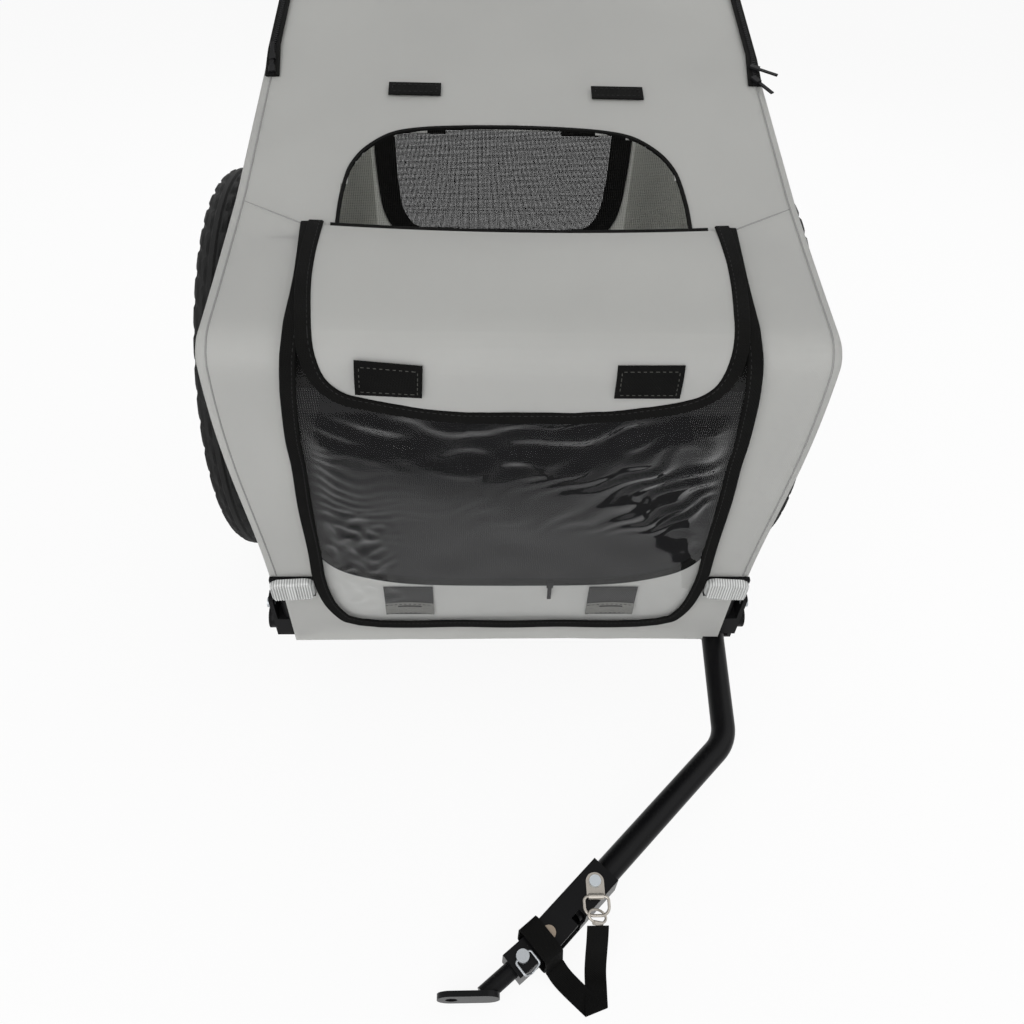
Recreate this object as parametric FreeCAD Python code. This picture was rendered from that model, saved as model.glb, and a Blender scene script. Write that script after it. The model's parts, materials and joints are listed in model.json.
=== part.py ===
import FreeCAD, Part
import math
import os

# Dog bike trailer. Every piece is drawn level, with Y measured from the wheel axle, rear positive,
# and Z from the ground under level wheels. stand() then tips the whole trailer nose down about the
# axle until the hitch plate touches the ground, as it rests when it is off the bike.

V = FreeCAD.Vector
ORIGIN, X_AXIS, Y_AXIS, Z_AXIS = V(0, 0, 0), V(1, 0, 0), V(0, 1, 0), V(0, 0, 1)
SIDES = (-1, 1)

# General fits
OVERRUN = 20.0
RUN_FIT = 0.05
SLIP_FIT = 0.1
SOFT_GAP = 0.3
LIFT = 0.5

# Wheels, the rim first: the tyre, the axle height and the base frame follow it
RIM_OUTER_R = 213.0
TYRE_HEIGHT = 38.0
TYRE_SECTION_R = 22.0
WHEEL_R = RIM_OUTER_R + TYRE_HEIGHT
AXLE_Z = WHEEL_R
RIM_DEPTH = 13.0
RIM_HALF_WIDTH = 13.0
RIM_WALL = 2.0
SPOKE_R = 1.1
SPOKE_COUNT = 20
SPOKE_HUB_R = 19.0
SPOKE_LEAN = 24.0
HUB_HALF_LENGTH = 31.0
HUB_BARREL_R = 16.5
HUB_FLANGE_R = 24.0
HUB_FLANGE_WIDTH = 4.0
HUB_FLANGE_PLACE = 22.0
BEARING_R = 13.0
BEARING_WIDTH = 8.0
AXLE_R = 6.0
AXLE_HEAD_R = 10.0
AXLE_HEAD_LENGTH = 5.0
AXLE_GRIP = 34.0
BUTTON_R = 3.5
BUTTON_LENGTH = 14.0
BUTTON_PROUD = 4.0

# Cabin cover, outer face of the cloth
CLOTH = 1.5
HALF_WIDTH = 250.0
FRONT_Y = -431.0
REAR_Y = 240.0
ROOF_REAR_Z = 748.0
ROOF_RISE = 98.0
ROOF_SETBACK = 35.0
ROOF_NARROW = 15.0
HOOD_DEPTH = 133.0
HEM_DROP = 18.0
AXLE_OVER_BASE = 3.0
ELBOW_R = 30.0
ROOF_CORNER_R = 24.0
REAR_ELBOW_R = 40.0
HEM_NARROW = 11.0
HEM_CORNER_RISE = 74.0
SIDE_CORNER_RUN = 60.0
AXLE_NOTCH_MARGIN = 6.0
BASE_Z = AXLE_Z - AXLE_OVER_BASE
HEM_Z = BASE_Z - HEM_DROP
ELBOW_Z = ROOF_REAR_Z - ROOF_RISE
ROOF_REAR_Y = REAR_Y - ROOF_SETBACK
ROOF_REAR_HALF_WIDTH = HALF_WIDTH - ROOF_NARROW
CREASE_Y = FRONT_Y + HOOD_DEPTH

# Base frame, set out from the cover that it carries
TUBE_R = 12.7
TUBE_WALL = 1.5
POST_R = 11.0
RAIL_INSET = 16.0
CROSS_STUB = 10.0
CAP_FLANGE = 3.0
CAP_PLUG = 14.0
BRACKET_HALF_DEPTH = 14.0
BRACKET_IN = 18.0
BRACKET_OUT = 6.0
BRACKET_DROP = 16.0
BRACKET_RISE = 15.0
BRACKET_REACH = 36.0
BOSS_HALF_WIDTH = 14.0
COLLAR_R = 14.0
COLLAR_RISE = 58.0
EAR_THICK = 4.5
EAR_RISE = 52.0
EAR_TIP_HALF = 7.0
SCREW_HEAD_R = 5.5
SCREW_HEAD_LENGTH = 3.0
SCREW_SHANK_R = 2.5
RECEIVER_HALF_LENGTH = 26.0
RECEIVER_IN = 15.0
RECEIVER_OUT = 46.0
RECEIVER_HALF_HEIGHT = 17.0
WHEEL_GAP = 9.0
FLOOR_THICK = 5.0
FLOOR_GAP = 3.0
RAIL_X = HALF_WIDTH - RAIL_INSET
CROSS_HALF_LENGTH = HALF_WIDTH + CROSS_STUB
BRACKET_INNER_X = RAIL_X - BRACKET_IN
BRACKET_OUTER_X = HALF_WIDTH + BRACKET_OUT
BRACKET_BOTTOM_Z = BASE_Z - BRACKET_DROP
BRACKET_TOP_Z = BASE_Z + BRACKET_RISE
COLLAR_TOP_Z = BASE_Z + COLLAR_RISE
EAR_TOP_Z = BASE_Z + EAR_RISE
RECEIVER_INNER_X = RAIL_X - RECEIVER_IN
RECEIVER_OUTER_X = HALF_WIDTH + RECEIVER_OUT
TRACK_HALF = RECEIVER_OUTER_X + WHEEL_GAP + HUB_HALF_LENGTH
FLOOR_HALF_WIDTH = BRACKET_INNER_X - FLOOR_GAP
FRONT_TUBE_Y = FRONT_Y + CLOTH + LIFT + BRACKET_HALF_DEPTH
REAR_TUBE_Y = REAR_Y - CLOTH - LIFT - BRACKET_HALF_DEPTH

# Folding top frame
KNUCKLE_RISE = 192.0
TONGUE_THICK = 9.0
TONGUE_R = 9.0
CHEEK_THICK = 4.5
CHEEK_R = 10.0
FORK_PLUG = 22.0
UPPER_START = 16.0
KNUCKLE_PIN_R = 3.5
PIN_HEAD_R = 6.0
PIN_HEAD_LENGTH = 2.5
HOOP_BEND_R = 34.0
CREASE_BAR_AHEAD = 14.0
REAR_BAR_SETBACK = 30.0
KNUCKLE_Z = BASE_Z + KNUCKLE_RISE
CREASE_BAR_Y = CREASE_Y - CREASE_BAR_AHEAD

# Windows and doors, each by its margin from the cover's edges
DOOR_MARGIN = 56.0
DOOR_SILL = 104.0
DOOR_HEAD = 40.0
DOOR_CORNER_R = 60.0
DOOR_TOP_CORNER_R = 12.0
MESH = 1.0
ARCH_MARGIN = 100.0
ARCH_TOP_NARROW = 20.0
ARCH_DEPTH = 127.0
ARCH_SHOULDER_R = 70.0
REAR_DOOR_MARGIN = 70.0
REAR_DOOR_SILL = 62.0
REAR_DOOR_HEAD = 50.0
ZIP_WIDTH = 10.0
ZIP_THICK = 1.5
ZIP_FRONT_SETBACK = 191.0
ZIP_REAR_SETBACK = 35.0
ZIP_EDGE = 3.0
PULL_LENGTH = 24.0
PULL_WIDTH = 5.0
PULL_THICK = 1.2
DOOR_PULL_X = 28.0
DOOR_HALF_WIDTH = HALF_WIDTH - DOOR_MARGIN
DOOR_BOTTOM_Z = HEM_Z + DOOR_SILL
DOOR_TOP_Z = ELBOW_Z - DOOR_HEAD
ARCH_HALF_WIDTH = HALF_WIDTH - ARCH_MARGIN
ARCH_TOP_Y = CREASE_Y + ARCH_DEPTH
REAR_DOOR_HALF_WIDTH = HALF_WIDTH - REAR_DOOR_MARGIN
REAR_DOOR_BOTTOM_Z = HEM_Z + REAR_DOOR_SILL
REAR_DOOR_TOP_Z = ELBOW_Z - REAR_DOOR_HEAD
ZIP_FRONT_Y = CREASE_Y + ZIP_FRONT_SETBACK
ZIP_REAR_Y = ROOF_REAR_Y - ZIP_REAR_SETBACK

# Rain cover over the front door
RAIN_LIFT = 1.8
RAIN_THICK = 1.0
RAIN_TOP_MARGIN = 64.0
RAIN_HINGE_MARGIN = 51.5
RAIN_LOW_MARGIN = 48.5
RAIN_HINGE_DROP = 84.0
RAIN_LOW_RISE = 100.0
RAIN_BOTTOM_RISE = 28.5
RAIN_CORNER_R = 48.0
RAIN_SPLIT = 0.5
BINDING_WIDTH = 12.0
BINDING_LIFT = 0.3
BINDING_THICK = 2.9
RAIN_TOP_HALF_WIDTH = HALF_WIDTH - RAIN_TOP_MARGIN
RAIN_HINGE_HALF_WIDTH = HALF_WIDTH - RAIN_HINGE_MARGIN
RAIN_LOW_HALF_WIDTH = HALF_WIDTH - RAIN_LOW_MARGIN
RAIN_HINGE_Z = ELBOW_Z - RAIN_HINGE_DROP
RAIN_LOW_Z = HEM_Z + RAIN_LOW_RISE
RAIN_BOTTOM_Z = HEM_Z + RAIN_BOTTOM_RISE

# Skylight flap, thrown forward over the hood, and what is sewn on the cloth
FLAP_LIFT = 3.5
FLAP_THICK = 1.5
FLAP_MARGIN = 72.0
FLAP_DROP = 73.0
FLAP_TIP_R = 70.0
FLAP_SPLIT = 1.5
PATCH_WIDTH = 53.0
PATCH_HEIGHT = 27.5
PATCH_THICK = 1.2
PATCH_INSET = 75.0
PATCH_RISE = 46.0
STRIP_WIDTH = 49.0
STRIP_DEPTH = 17.5
STRIP_INSET = 54.0
STRIP_SETBACK = 50.0
LOOP_WIDTH = 51.0
LOOP_HEIGHT = 50.0
LOOP_THICK = 1.2
LOOP_MARGIN = 142.0
LOOP_RISE = 73.0
REFLECTOR_MARGIN = 25.5
REFLECTOR_HEM_RISE = 102.0
REFLECTOR_WIDTH = 44.0
REFLECTOR_HEIGHT = 28.0
REFLECTOR_BACK = 5.0
REFLECTOR_LENS = 6.0
REFLECTOR_RIM = 2.0
FLAP_HALF_WIDTH = HALF_WIDTH - FLAP_MARGIN
FLAP_TIP_Z = ELBOW_Z - FLAP_DROP
PATCH_X = FLAP_HALF_WIDTH - PATCH_INSET
PATCH_Z = FLAP_TIP_Z + PATCH_RISE
STRIP_X = ARCH_HALF_WIDTH - STRIP_INSET
STRIP_Y = ARCH_TOP_Y + STRIP_SETBACK
LOOP_X = HALF_WIDTH - LOOP_MARGIN
LOOP_Z = HEM_Z + LOOP_RISE
REFLECTOR_X = HALF_WIDTH - REFLECTOR_MARGIN
REFLECTOR_Z = HEM_Z + REFLECTOR_HEM_RISE

# Drawbar, in a fork under the left front corner
FORK_PLATE = 4.0
FORK_GAP = 1.3
FORK_HALF_WIDTH = 19.0
FORK_FRONT = 16.0
FORK_WEB_GAP = 1.0
PIVOT_OUT = 3.0
PIVOT_SETBACK = 20.0
DRAWBAR_BEND_RUN = 156.0
DRAWBAR_BEND_SHIFT = 9.0
DRAWBAR_BEND_R = 45.0
DRAWBAR_TURN_DEG = 45.5
DRAWBAR_LEG = 246.0
DRAWBAR_TAIL = 15.0
PIVOT_BOLT_R = 4.0
KNOB_R = 16.0
KNOB_HEIGHT = 13.0
KNOB_LOBES = 6
KNOB_SCALLOP_R = 5.0
SLEEVE_HALF = 15.0
SLEEVE_WALL = 2.0
SLEEVE_LENGTH = 96.0
SLEEVE_OVER_TUBE = 50.0
EAR_RUN = 44.0
NOTCH_LENGTH = 11.0
NOTCH_DEPTH = 9.0
NOTCH_PLACE = 46.0

# Hitch
RIVET_R = 4.0
RIVET_HEAD_R = 6.5
RIVET_HEAD = 2.5
RIVET_TAIL = 1.0
RIVET_SETBACK = 15.0
SOCKET_HALF = 12.5
SOCKET_LENGTH = 44.0
SOCKET_TURN_DEG = 6.0
HITCH_ROD_R = 8.0
HITCH_ROD_SINK = 26.0
HITCH_ROD_SHOWN = 30.0
PLATE_HALF_HEIGHT = 13.0
PLATE_LENGTH = 56.0
PLATE_THICK = 5.0
HITCH_BORE_R = 5.5
PIN_R = 4.0
PIN_PLACE = 31.0
PIN_HEAD = 3.5
PIN_CAP_R = 6.0
PIN_TAIL = 3.0
CLIP_WIRE_R = 1.0
CLIP_HALF_WIDTH = 8.6
CLIP_BEND_R = 2.5
CLIP_DROP = 15.0

# Safety strap and its fittings
TAB_WIDTH = 17.0
TAB_LENGTH = 21.0
TAB_THICK = 1.4
RING_WIRE_R = 1.4
RING_HALF_WIDTH = 11.5
RING_DEPTH = 17.0
RING_DROOP_DEG = 2.0
RING_TIGHT_R = 4.0
RING_ROUND_R = 8.0
SNAP_WIRE_R = 1.2
SNAP_HALF_WIDTH = 10.0
SNAP_HALF_DEPTH = 6.0
SNAP_ROLL_DEG = 32.0
SNAP_BARREL_R = 2.2
SNAP_SINK = 2.3
STRAP_WIDTH = 20.0
STRAP_THICK = 1.6
STRAP_FOLD_OUT = 41.6
STRAP_FOLD_AHEAD = 60.8
STRAP_FLOOR_GAP = 0.4
STRAP_LOOP_PLACE = 9.5
STRAP_RISE_RUN = 16.0

# Worked out from the sizes above
ROOF_SLOPE = (ROOF_REAR_Z - ELBOW_Z) / (ROOF_REAR_Y - FRONT_Y)
ROOF_ANGLE = math.atan(ROOF_SLOPE)
LEAN = (HALF_WIDTH - ROOF_REAR_HALF_WIDTH) / (ROOF_REAR_Z - ELBOW_Z)
DRAWBAR_Z = BRACKET_BOTTOM_Z - FORK_PLATE - FORK_GAP - TUBE_R
DRAWBAR_ANGLE = math.radians(DRAWBAR_TURN_DEG)
DRAWBAR_DIRECTION = V(-math.sin(DRAWBAR_ANGLE), -math.cos(DRAWBAR_ANGLE), 0)
PIVOT_POINT = V(RAIL_X + PIVOT_OUT, FRONT_TUBE_Y + PIVOT_SETBACK, DRAWBAR_Z)
BEND_POINT = PIVOT_POINT - V(DRAWBAR_BEND_SHIFT, DRAWBAR_BEND_RUN, 0)
TUBE_END = BEND_POINT + DRAWBAR_DIRECTION * DRAWBAR_LEG
SLEEVE_START = TUBE_END - DRAWBAR_DIRECTION * SLEEVE_OVER_TUBE
RIVET_POINT = SLEEVE_START + DRAWBAR_DIRECTION * (SLEEVE_LENGTH - RIVET_SETBACK)
SOCKET_ANGLE = math.radians(DRAWBAR_TURN_DEG + SOCKET_TURN_DEG)
SOCKET_DIRECTION = V(-math.sin(SOCKET_ANGLE), -math.cos(SOCKET_ANGLE), 0)
PIN_POINT = RIVET_POINT + SOCKET_DIRECTION * PIN_PLACE
SOCKET_END = RIVET_POINT + SOCKET_DIRECTION * SOCKET_LENGTH
ROD_END = SOCKET_END + SOCKET_DIRECTION * HITCH_ROD_SHOWN
PLATE_FRONT_Y = ROD_END.y - PLATE_THICK
STRAP_FOLD = (RIVET_POINT.x + STRAP_FOLD_OUT, RIVET_POINT.y - STRAP_FOLD_AHEAD)
LOW_POINT = V(0, PLATE_FRONT_Y, DRAWBAR_Z - PLATE_HALF_HEIGHT)
LOW_REACH = math.hypot(LOW_POINT.y, LOW_POINT.z - AXLE_Z)
TIP_ANGLE = math.asin(WHEEL_R / LOW_REACH) - math.atan2(AXLE_Z - LOW_POINT.z, -LOW_POINT.y)
TIP_DEG = math.degrees(TIP_ANGLE)
AXLE_POINT = V(0, 0, AXLE_Z)


def on_ground(x, y, rise):
    """Level point at a height above the ground that the lowered nose rests on."""
    return V(x, y, AXLE_Z - (WHEEL_R + y * math.sin(TIP_ANGLE)) / math.cos(TIP_ANGLE) + rise)


def laid_axis(axis):
    """Level direction tipped to run along that ground."""
    return V(axis.x, axis.y, -axis.y * math.tan(TIP_ANGLE)).normalize()


def tipped_y(point):
    return point.y * math.cos(TIP_ANGLE) - (point.z - AXLE_Z) * math.sin(TIP_ANGLE)


FRONT_CORNER = on_ground(*STRAP_FOLD, STRAP_FLOOR_GAP) + laid_axis(SOCKET_DIRECTION) * (STRAP_WIDTH / 2)
CENTRE_SHIFT = V(0, -(tipped_y(FRONT_CORNER) + WHEEL_R) / 2, 0)


def stand(shape):
    """Tip a level shape nose down and put the origin under the middle of the trailer."""
    placed = shape.copy()
    placed.rotate(AXLE_POINT, X_AXIS, TIP_DEG)
    placed.translate(CENTRE_SHIFT)
    return placed


def save(node, *shapes):
    solids = [solid for shape in shapes for solid in shape.Solids]
    placed = [stand(solid) for solid in solids]
    shape = placed[0] if len(placed) == 1 else Part.makeCompound(placed)
    shape.exportStep("parts/%s.step" % node)


def box(x_span, y_span, z_span):
    """Block between the lower and upper limit on each axis."""
    low = [min(span) for span in (x_span, y_span, z_span)]
    size = [max(span) - min(span) for span in (x_span, y_span, z_span)]
    return Part.makeBox(*size, V(*low))


def rod(start, end, radius):
    return Part.makeCylinder(radius, (end - start).Length, start, end - start)


def ring(start, end, radius, bore):
    along = (end - start).normalize() * OVERRUN
    return rod(start, end, radius).cut(rod(start - along, end + along, bore))


def mirrored(shape):
    return shape.mirror(ORIGIN, X_AXIS)


def on_side(shape, side):
    """A shape drawn on the +X side, kept there or mirrored to the other."""
    return shape if side > 0 else mirrored(shape)


def corner_arc(before, corner, after, radius):
    """Tangent points and middle of the arc that rounds a corner."""
    back = (before - corner).normalize()
    ahead = (after - corner).normalize()
    half = back.getAngle(ahead) / 2
    run = radius / math.tan(half)
    middle = (back + ahead).normalize() * (radius / math.sin(half) - radius)
    return corner + back * run, corner + middle, corner + ahead * run


def rounded_wire(points, radii, closed):
    """Straight runs joined by tangent arcs. A radius of zero keeps a sharp corner."""
    count = len(points)
    stops = []
    for index, point in enumerate(points):
        inner = closed or 0 < index < count - 1
        if inner and radii[index] > 0:
            stops.append(corner_arc(points[index - 1], point, points[(index + 1) % count], radii[index]))
        else:
            stops.append((point, None, point))
    edges = []
    for index, (first, middle, last) in enumerate(stops):
        if middle is not None:
            edges.append(Part.Arc(first, middle, last).toShape())
        following = stops[(index + 1) % count][0]
        if (closed or index < count - 1) and (following - last).Length > RUN_FIT:
            edges.append(Part.LineSegment(last, following).toShape())
    return Part.Wire(edges)


def prism(points, radii, sweep):
    return Part.Face(rounded_wire(points, radii, True)).extrude(sweep)


def swept_rod(points, bend_r, radius):
    path = rounded_wire(points, [bend_r] * len(points), False)
    start = points[0]
    section = Part.Wire(Part.Circle(start, points[1] - start, radius).toShape())
    return path.makePipeShell([section], True, False)


def bent_tube(points, bend_r, radius, wall):
    return swept_rod(points, bend_r, radius).cut(swept_rod(points, bend_r, radius - wall))


# Wheels

def wheel_point(side, offset):
    return V(side * (TRACK_HALF + offset), 0, AXLE_Z)


def tyre(side):
    casing = Part.makeTorus(WHEEL_R - TYRE_SECTION_R, TYRE_SECTION_R, wheel_point(side, 0), X_AXIS)
    seat = rod(wheel_point(side, -TYRE_SECTION_R), wheel_point(side, TYRE_SECTION_R), RIM_OUTER_R)
    return casing.cut(seat)


def rim(side):
    inner_r = RIM_OUTER_R - RIM_DEPTH
    body = ring(wheel_point(side, -RIM_HALF_WIDTH), wheel_point(side, RIM_HALF_WIDTH), RIM_OUTER_R, inner_r)
    half_well = RIM_HALF_WIDTH - RIM_WALL
    well = ring(wheel_point(side, -half_well), wheel_point(side, half_well),
                RIM_OUTER_R + OVERRUN, inner_r + RIM_WALL)
    return body.cut(well)


def spokes(side):
    group = []
    rim_r = RIM_OUTER_R - RIM_DEPTH
    for index in range(SPOKE_COUNT):
        turn = 2 * math.pi * index / SPOKE_COUNT
        lean = math.radians(SPOKE_LEAN) * (1 if index % 4 < 2 else -1)
        flange = HUB_FLANGE_PLACE if index % 2 else -HUB_FLANGE_PLACE
        hub_end = wheel_point(side, flange) + V(0, math.cos(turn + lean), math.sin(turn + lean)) * SPOKE_HUB_R
        rim_end = wheel_point(side, 0) + V(0, math.cos(turn), math.sin(turn)) * rim_r
        group.append(rod(hub_end, rim_end, SPOKE_R))
    body = hub(side)
    within = rod(wheel_point(side, -HUB_HALF_LENGTH), wheel_point(side, HUB_HALF_LENGTH), rim_r)
    return [spoke.common(within).cut(body) for spoke in group]


def hub(side):
    barrel = rod(wheel_point(side, -HUB_HALF_LENGTH), wheel_point(side, HUB_HALF_LENGTH), HUB_BARREL_R)
    for place in (-HUB_FLANGE_PLACE, HUB_FLANGE_PLACE):
        half = HUB_FLANGE_WIDTH / 2
        flange = rod(wheel_point(side, place - half), wheel_point(side, place + half), HUB_FLANGE_R)
        barrel = barrel.fuse(flange)
    for end in SIDES:
        seat_start = wheel_point(side, end * (HUB_HALF_LENGTH - BEARING_WIDTH))
        barrel = barrel.cut(rod(seat_start, wheel_point(side, end * (HUB_HALF_LENGTH + OVERRUN)), BEARING_R))
    bore_r = (AXLE_R + BEARING_R) / 2
    return barrel.cut(rod(wheel_point(side, -HUB_HALF_LENGTH), wheel_point(side, HUB_HALF_LENGTH), bore_r))


def bearings(side):
    return [ring(wheel_point(side, end * (HUB_HALF_LENGTH - BEARING_WIDTH)),
                 wheel_point(side, end * HUB_HALF_LENGTH), BEARING_R, AXLE_R + RUN_FIT) for end in SIDES]


def axle(side):
    head_start = HUB_HALF_LENGTH + SOFT_GAP
    inner = V(side * (RECEIVER_OUTER_X - AXLE_GRIP), 0, AXLE_Z)
    shaft = rod(inner, wheel_point(side, head_start), AXLE_R)
    head_end = wheel_point(side, head_start + AXLE_HEAD_LENGTH)
    body = shaft.fuse(rod(wheel_point(side, head_start), head_end, AXLE_HEAD_R))
    well = rod(wheel_point(side, head_start + AXLE_HEAD_LENGTH - BUTTON_LENGTH),
               wheel_point(side, head_start + AXLE_HEAD_LENGTH + OVERRUN), BUTTON_R + RUN_FIT)
    return body.cut(well)


def release_button(side):
    outer = HUB_HALF_LENGTH + SOFT_GAP + AXLE_HEAD_LENGTH + BUTTON_PROUD
    return rod(wheel_point(side, outer - BUTTON_LENGTH), wheel_point(side, outer), BUTTON_R)


# Base frame

def cross_tubes():
    bore = TUBE_R - TUBE_WALL
    return [ring(V(-CROSS_HALF_LENGTH, y, BASE_Z), V(CROSS_HALF_LENGTH, y, BASE_Z), TUBE_R, bore)
            for y in (FRONT_TUBE_Y, REAR_TUBE_Y)]


def side_rails():
    start_y = FRONT_TUBE_Y + TUBE_R + LIFT
    end_y = REAR_TUBE_Y - TUBE_R - LIFT
    bore = TUBE_R - TUBE_WALL
    return [ring(V(side * RAIL_X, start_y, BASE_Z), V(side * RAIL_X, end_y, BASE_Z), TUBE_R, bore)
            for side in SIDES]


def tube_end_caps():
    caps = []
    for y in (FRONT_TUBE_Y, REAR_TUBE_Y):
        face = V(CROSS_HALF_LENGTH, y, BASE_Z)
        plug_r = TUBE_R - TUBE_WALL - SLIP_FIT
        cap = rod(face, face + X_AXIS * CAP_FLANGE, TUBE_R).fuse(rod(face - X_AXIS * CAP_PLUG, face, plug_r))
        caps += [on_side(cap, side) for side in SIDES]
    return caps


def corner_bracket(tube_y, inward):
    """Moulded corner: cross tube, rail end and post all plug into it. inward is +1 at the front."""
    outer_y = tube_y - inward * BRACKET_HALF_DEPTH
    block = box((BRACKET_INNER_X, BRACKET_OUTER_X), (outer_y, tube_y + inward * BRACKET_HALF_DEPTH),
                (BRACKET_BOTTOM_Z, BRACKET_TOP_Z))
    rail_boss = box((BRACKET_INNER_X, RAIL_X + BOSS_HALF_WIDTH),
                    (tube_y, tube_y + inward * BRACKET_REACH), (BRACKET_BOTTOM_Z, BRACKET_TOP_Z))
    collar = rod(V(RAIL_X, tube_y, BASE_Z), V(RAIL_X, tube_y, COLLAR_TOP_Z), COLLAR_R - LIFT)
    ear_points = [V(BRACKET_OUTER_X - EAR_THICK, outer_y, BRACKET_TOP_Z),
                  V(BRACKET_OUTER_X - EAR_THICK, tube_y + inward * BRACKET_HALF_DEPTH, BRACKET_TOP_Z),
                  V(BRACKET_OUTER_X - EAR_THICK, outer_y + inward * 2 * EAR_TIP_HALF, EAR_TOP_Z),
                  V(BRACKET_OUTER_X - EAR_THICK, outer_y, EAR_TOP_Z)]
    ear = prism(ear_points, [0, 0, EAR_TIP_HALF / 2, EAR_TIP_HALF / 2], X_AXIS * EAR_THICK)
    body = block.fuse([rail_boss, collar, ear]).removeSplitter()
    tube_bore = rod(V(BRACKET_INNER_X - OVERRUN, tube_y, BASE_Z),
                    V(BRACKET_OUTER_X + OVERRUN, tube_y, BASE_Z), TUBE_R + SLIP_FIT)
    rail_bore = rod(V(RAIL_X, tube_y, BASE_Z), V(RAIL_X, tube_y + inward * (BRACKET_REACH + OVERRUN), BASE_Z),
                    TUBE_R + SLIP_FIT)
    post_bore = rod(V(RAIL_X, tube_y, BASE_Z), V(RAIL_X, tube_y, COLLAR_TOP_Z + OVERRUN), POST_R + SLIP_FIT)
    hole = rod(screw_point(tube_y, inward) - X_AXIS * OVERRUN, screw_point(tube_y, inward), SCREW_SHANK_R)
    return body.cut(tube_bore).cut(rail_bore).cut(post_bore).cut(hole)


def screw_point(tube_y, inward):
    """Face of the ear under the screw head."""
    tip_y = tube_y - inward * (BRACKET_HALF_DEPTH - EAR_TIP_HALF)
    return V(BRACKET_OUTER_X, tip_y, EAR_TOP_Z - 2 * EAR_TIP_HALF)


CORNERS = ((FRONT_TUBE_Y, 1), (REAR_TUBE_Y, -1))


def corner_brackets():
    return [on_side(corner_bracket(y, inward), side) for y, inward in CORNERS for side in SIDES]


def frame_screws():
    group = []
    for tube_y, inward in CORNERS:
        face = screw_point(tube_y, inward)
        head = rod(face, face + X_AXIS * SCREW_HEAD_LENGTH, SCREW_HEAD_R)
        screw = head.fuse(rod(face - X_AXIS * EAR_THICK, face, SCREW_SHANK_R))
        group += [on_side(screw, side) for side in SIDES]
    return group


def axle_receivers():
    """Block clamped on each rail, bored for the stub axle."""
    body = box((RECEIVER_INNER_X, RECEIVER_OUTER_X), (-RECEIVER_HALF_LENGTH, RECEIVER_HALF_LENGTH),
               (AXLE_Z - RECEIVER_HALF_HEIGHT, AXLE_Z + RECEIVER_HALF_HEIGHT))
    half_bore = RECEIVER_HALF_LENGTH + OVERRUN
    rail = rod(V(RAIL_X, -half_bore, BASE_Z), V(RAIL_X, half_bore, BASE_Z), TUBE_R + SLIP_FIT)
    bore = rod(V(RECEIVER_OUTER_X - AXLE_GRIP, 0, AXLE_Z), V(RECEIVER_OUTER_X + OVERRUN, 0, AXLE_Z),
               AXLE_R + RUN_FIT)
    receiver = body.cut(rail).cut(bore)
    return [on_side(receiver, side) for side in SIDES]


def lower_posts():
    start_z = BASE_Z + TUBE_R + LIFT
    end_z = KNUCKLE_Z - FORK_PLUG
    return [ring(V(side * RAIL_X, y, start_z), V(side * RAIL_X, y, end_z), POST_R, POST_R - TUBE_WALL)
            for y, _ in CORNERS for side in SIDES]


def floor_board():
    """Board on top of the cross tubes, cut back round the corner brackets."""
    z_span = (BASE_Z + TUBE_R + SOFT_GAP, BASE_Z + TUBE_R + SOFT_GAP + FLOOR_THICK)
    y_span = (FRONT_TUBE_Y - TUBE_R / 2, REAR_TUBE_Y + TUBE_R / 2)
    return box((-FLOOR_HALF_WIDTH, FLOOR_HALF_WIDTH), y_span, z_span)


# Folding top frame

def knuckle_fork(x, y):
    """Fork on top of a lower post: two cheeks, a collar and a plug inside the tube."""
    seat_z = KNUCKLE_Z - FORK_PLUG
    inner = TONGUE_THICK / 2 + SOFT_GAP
    floor_z = KNUCKLE_Z - TONGUE_R - SOFT_GAP
    collar = rod(V(x, y, seat_z), V(x, y, floor_z), POST_R)
    plug = rod(V(x, y, seat_z - FORK_PLUG), V(x, y, seat_z), POST_R - TUBE_WALL - SLIP_FIT)
    body = collar.fuse(plug)
    for side in SIDES:
        inside = V(x + side * inner, y, KNUCKLE_Z)
        outside = V(x + side * (inner + CHEEK_THICK), y, KNUCKLE_Z)
        cheek = rod(inside, outside, CHEEK_R)
        leg = box((inside.x, outside.x), (y - CHEEK_R, y + CHEEK_R), (seat_z, KNUCKLE_Z))
        body = body.fuse(cheek).fuse(leg)
    bore = rod(V(x - OVERRUN, y, KNUCKLE_Z), V(x + OVERRUN, y, KNUCKLE_Z), KNUCKLE_PIN_R + RUN_FIT)
    return body.cut(bore)


def knuckle_forks():
    return [knuckle_fork(side * RAIL_X, y) for y, _ in CORNERS for side in SIDES]


def knuckle_pins():
    group = []
    reach = TONGUE_THICK / 2 + SOFT_GAP + CHEEK_THICK
    for y, _ in CORNERS:
        for side in SIDES:
            left = V(side * RAIL_X - reach, y, KNUCKLE_Z)
            right = V(side * RAIL_X + reach, y, KNUCKLE_Z)
            pin = rod(left, right, KNUCKLE_PIN_R)
            for face, out in ((left, -X_AXIS), (right, X_AXIS)):
                pin = pin.fuse(rod(face, face + out * PIN_HEAD_LENGTH, PIN_HEAD_R))
            group.append(pin)
    return group


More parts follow.
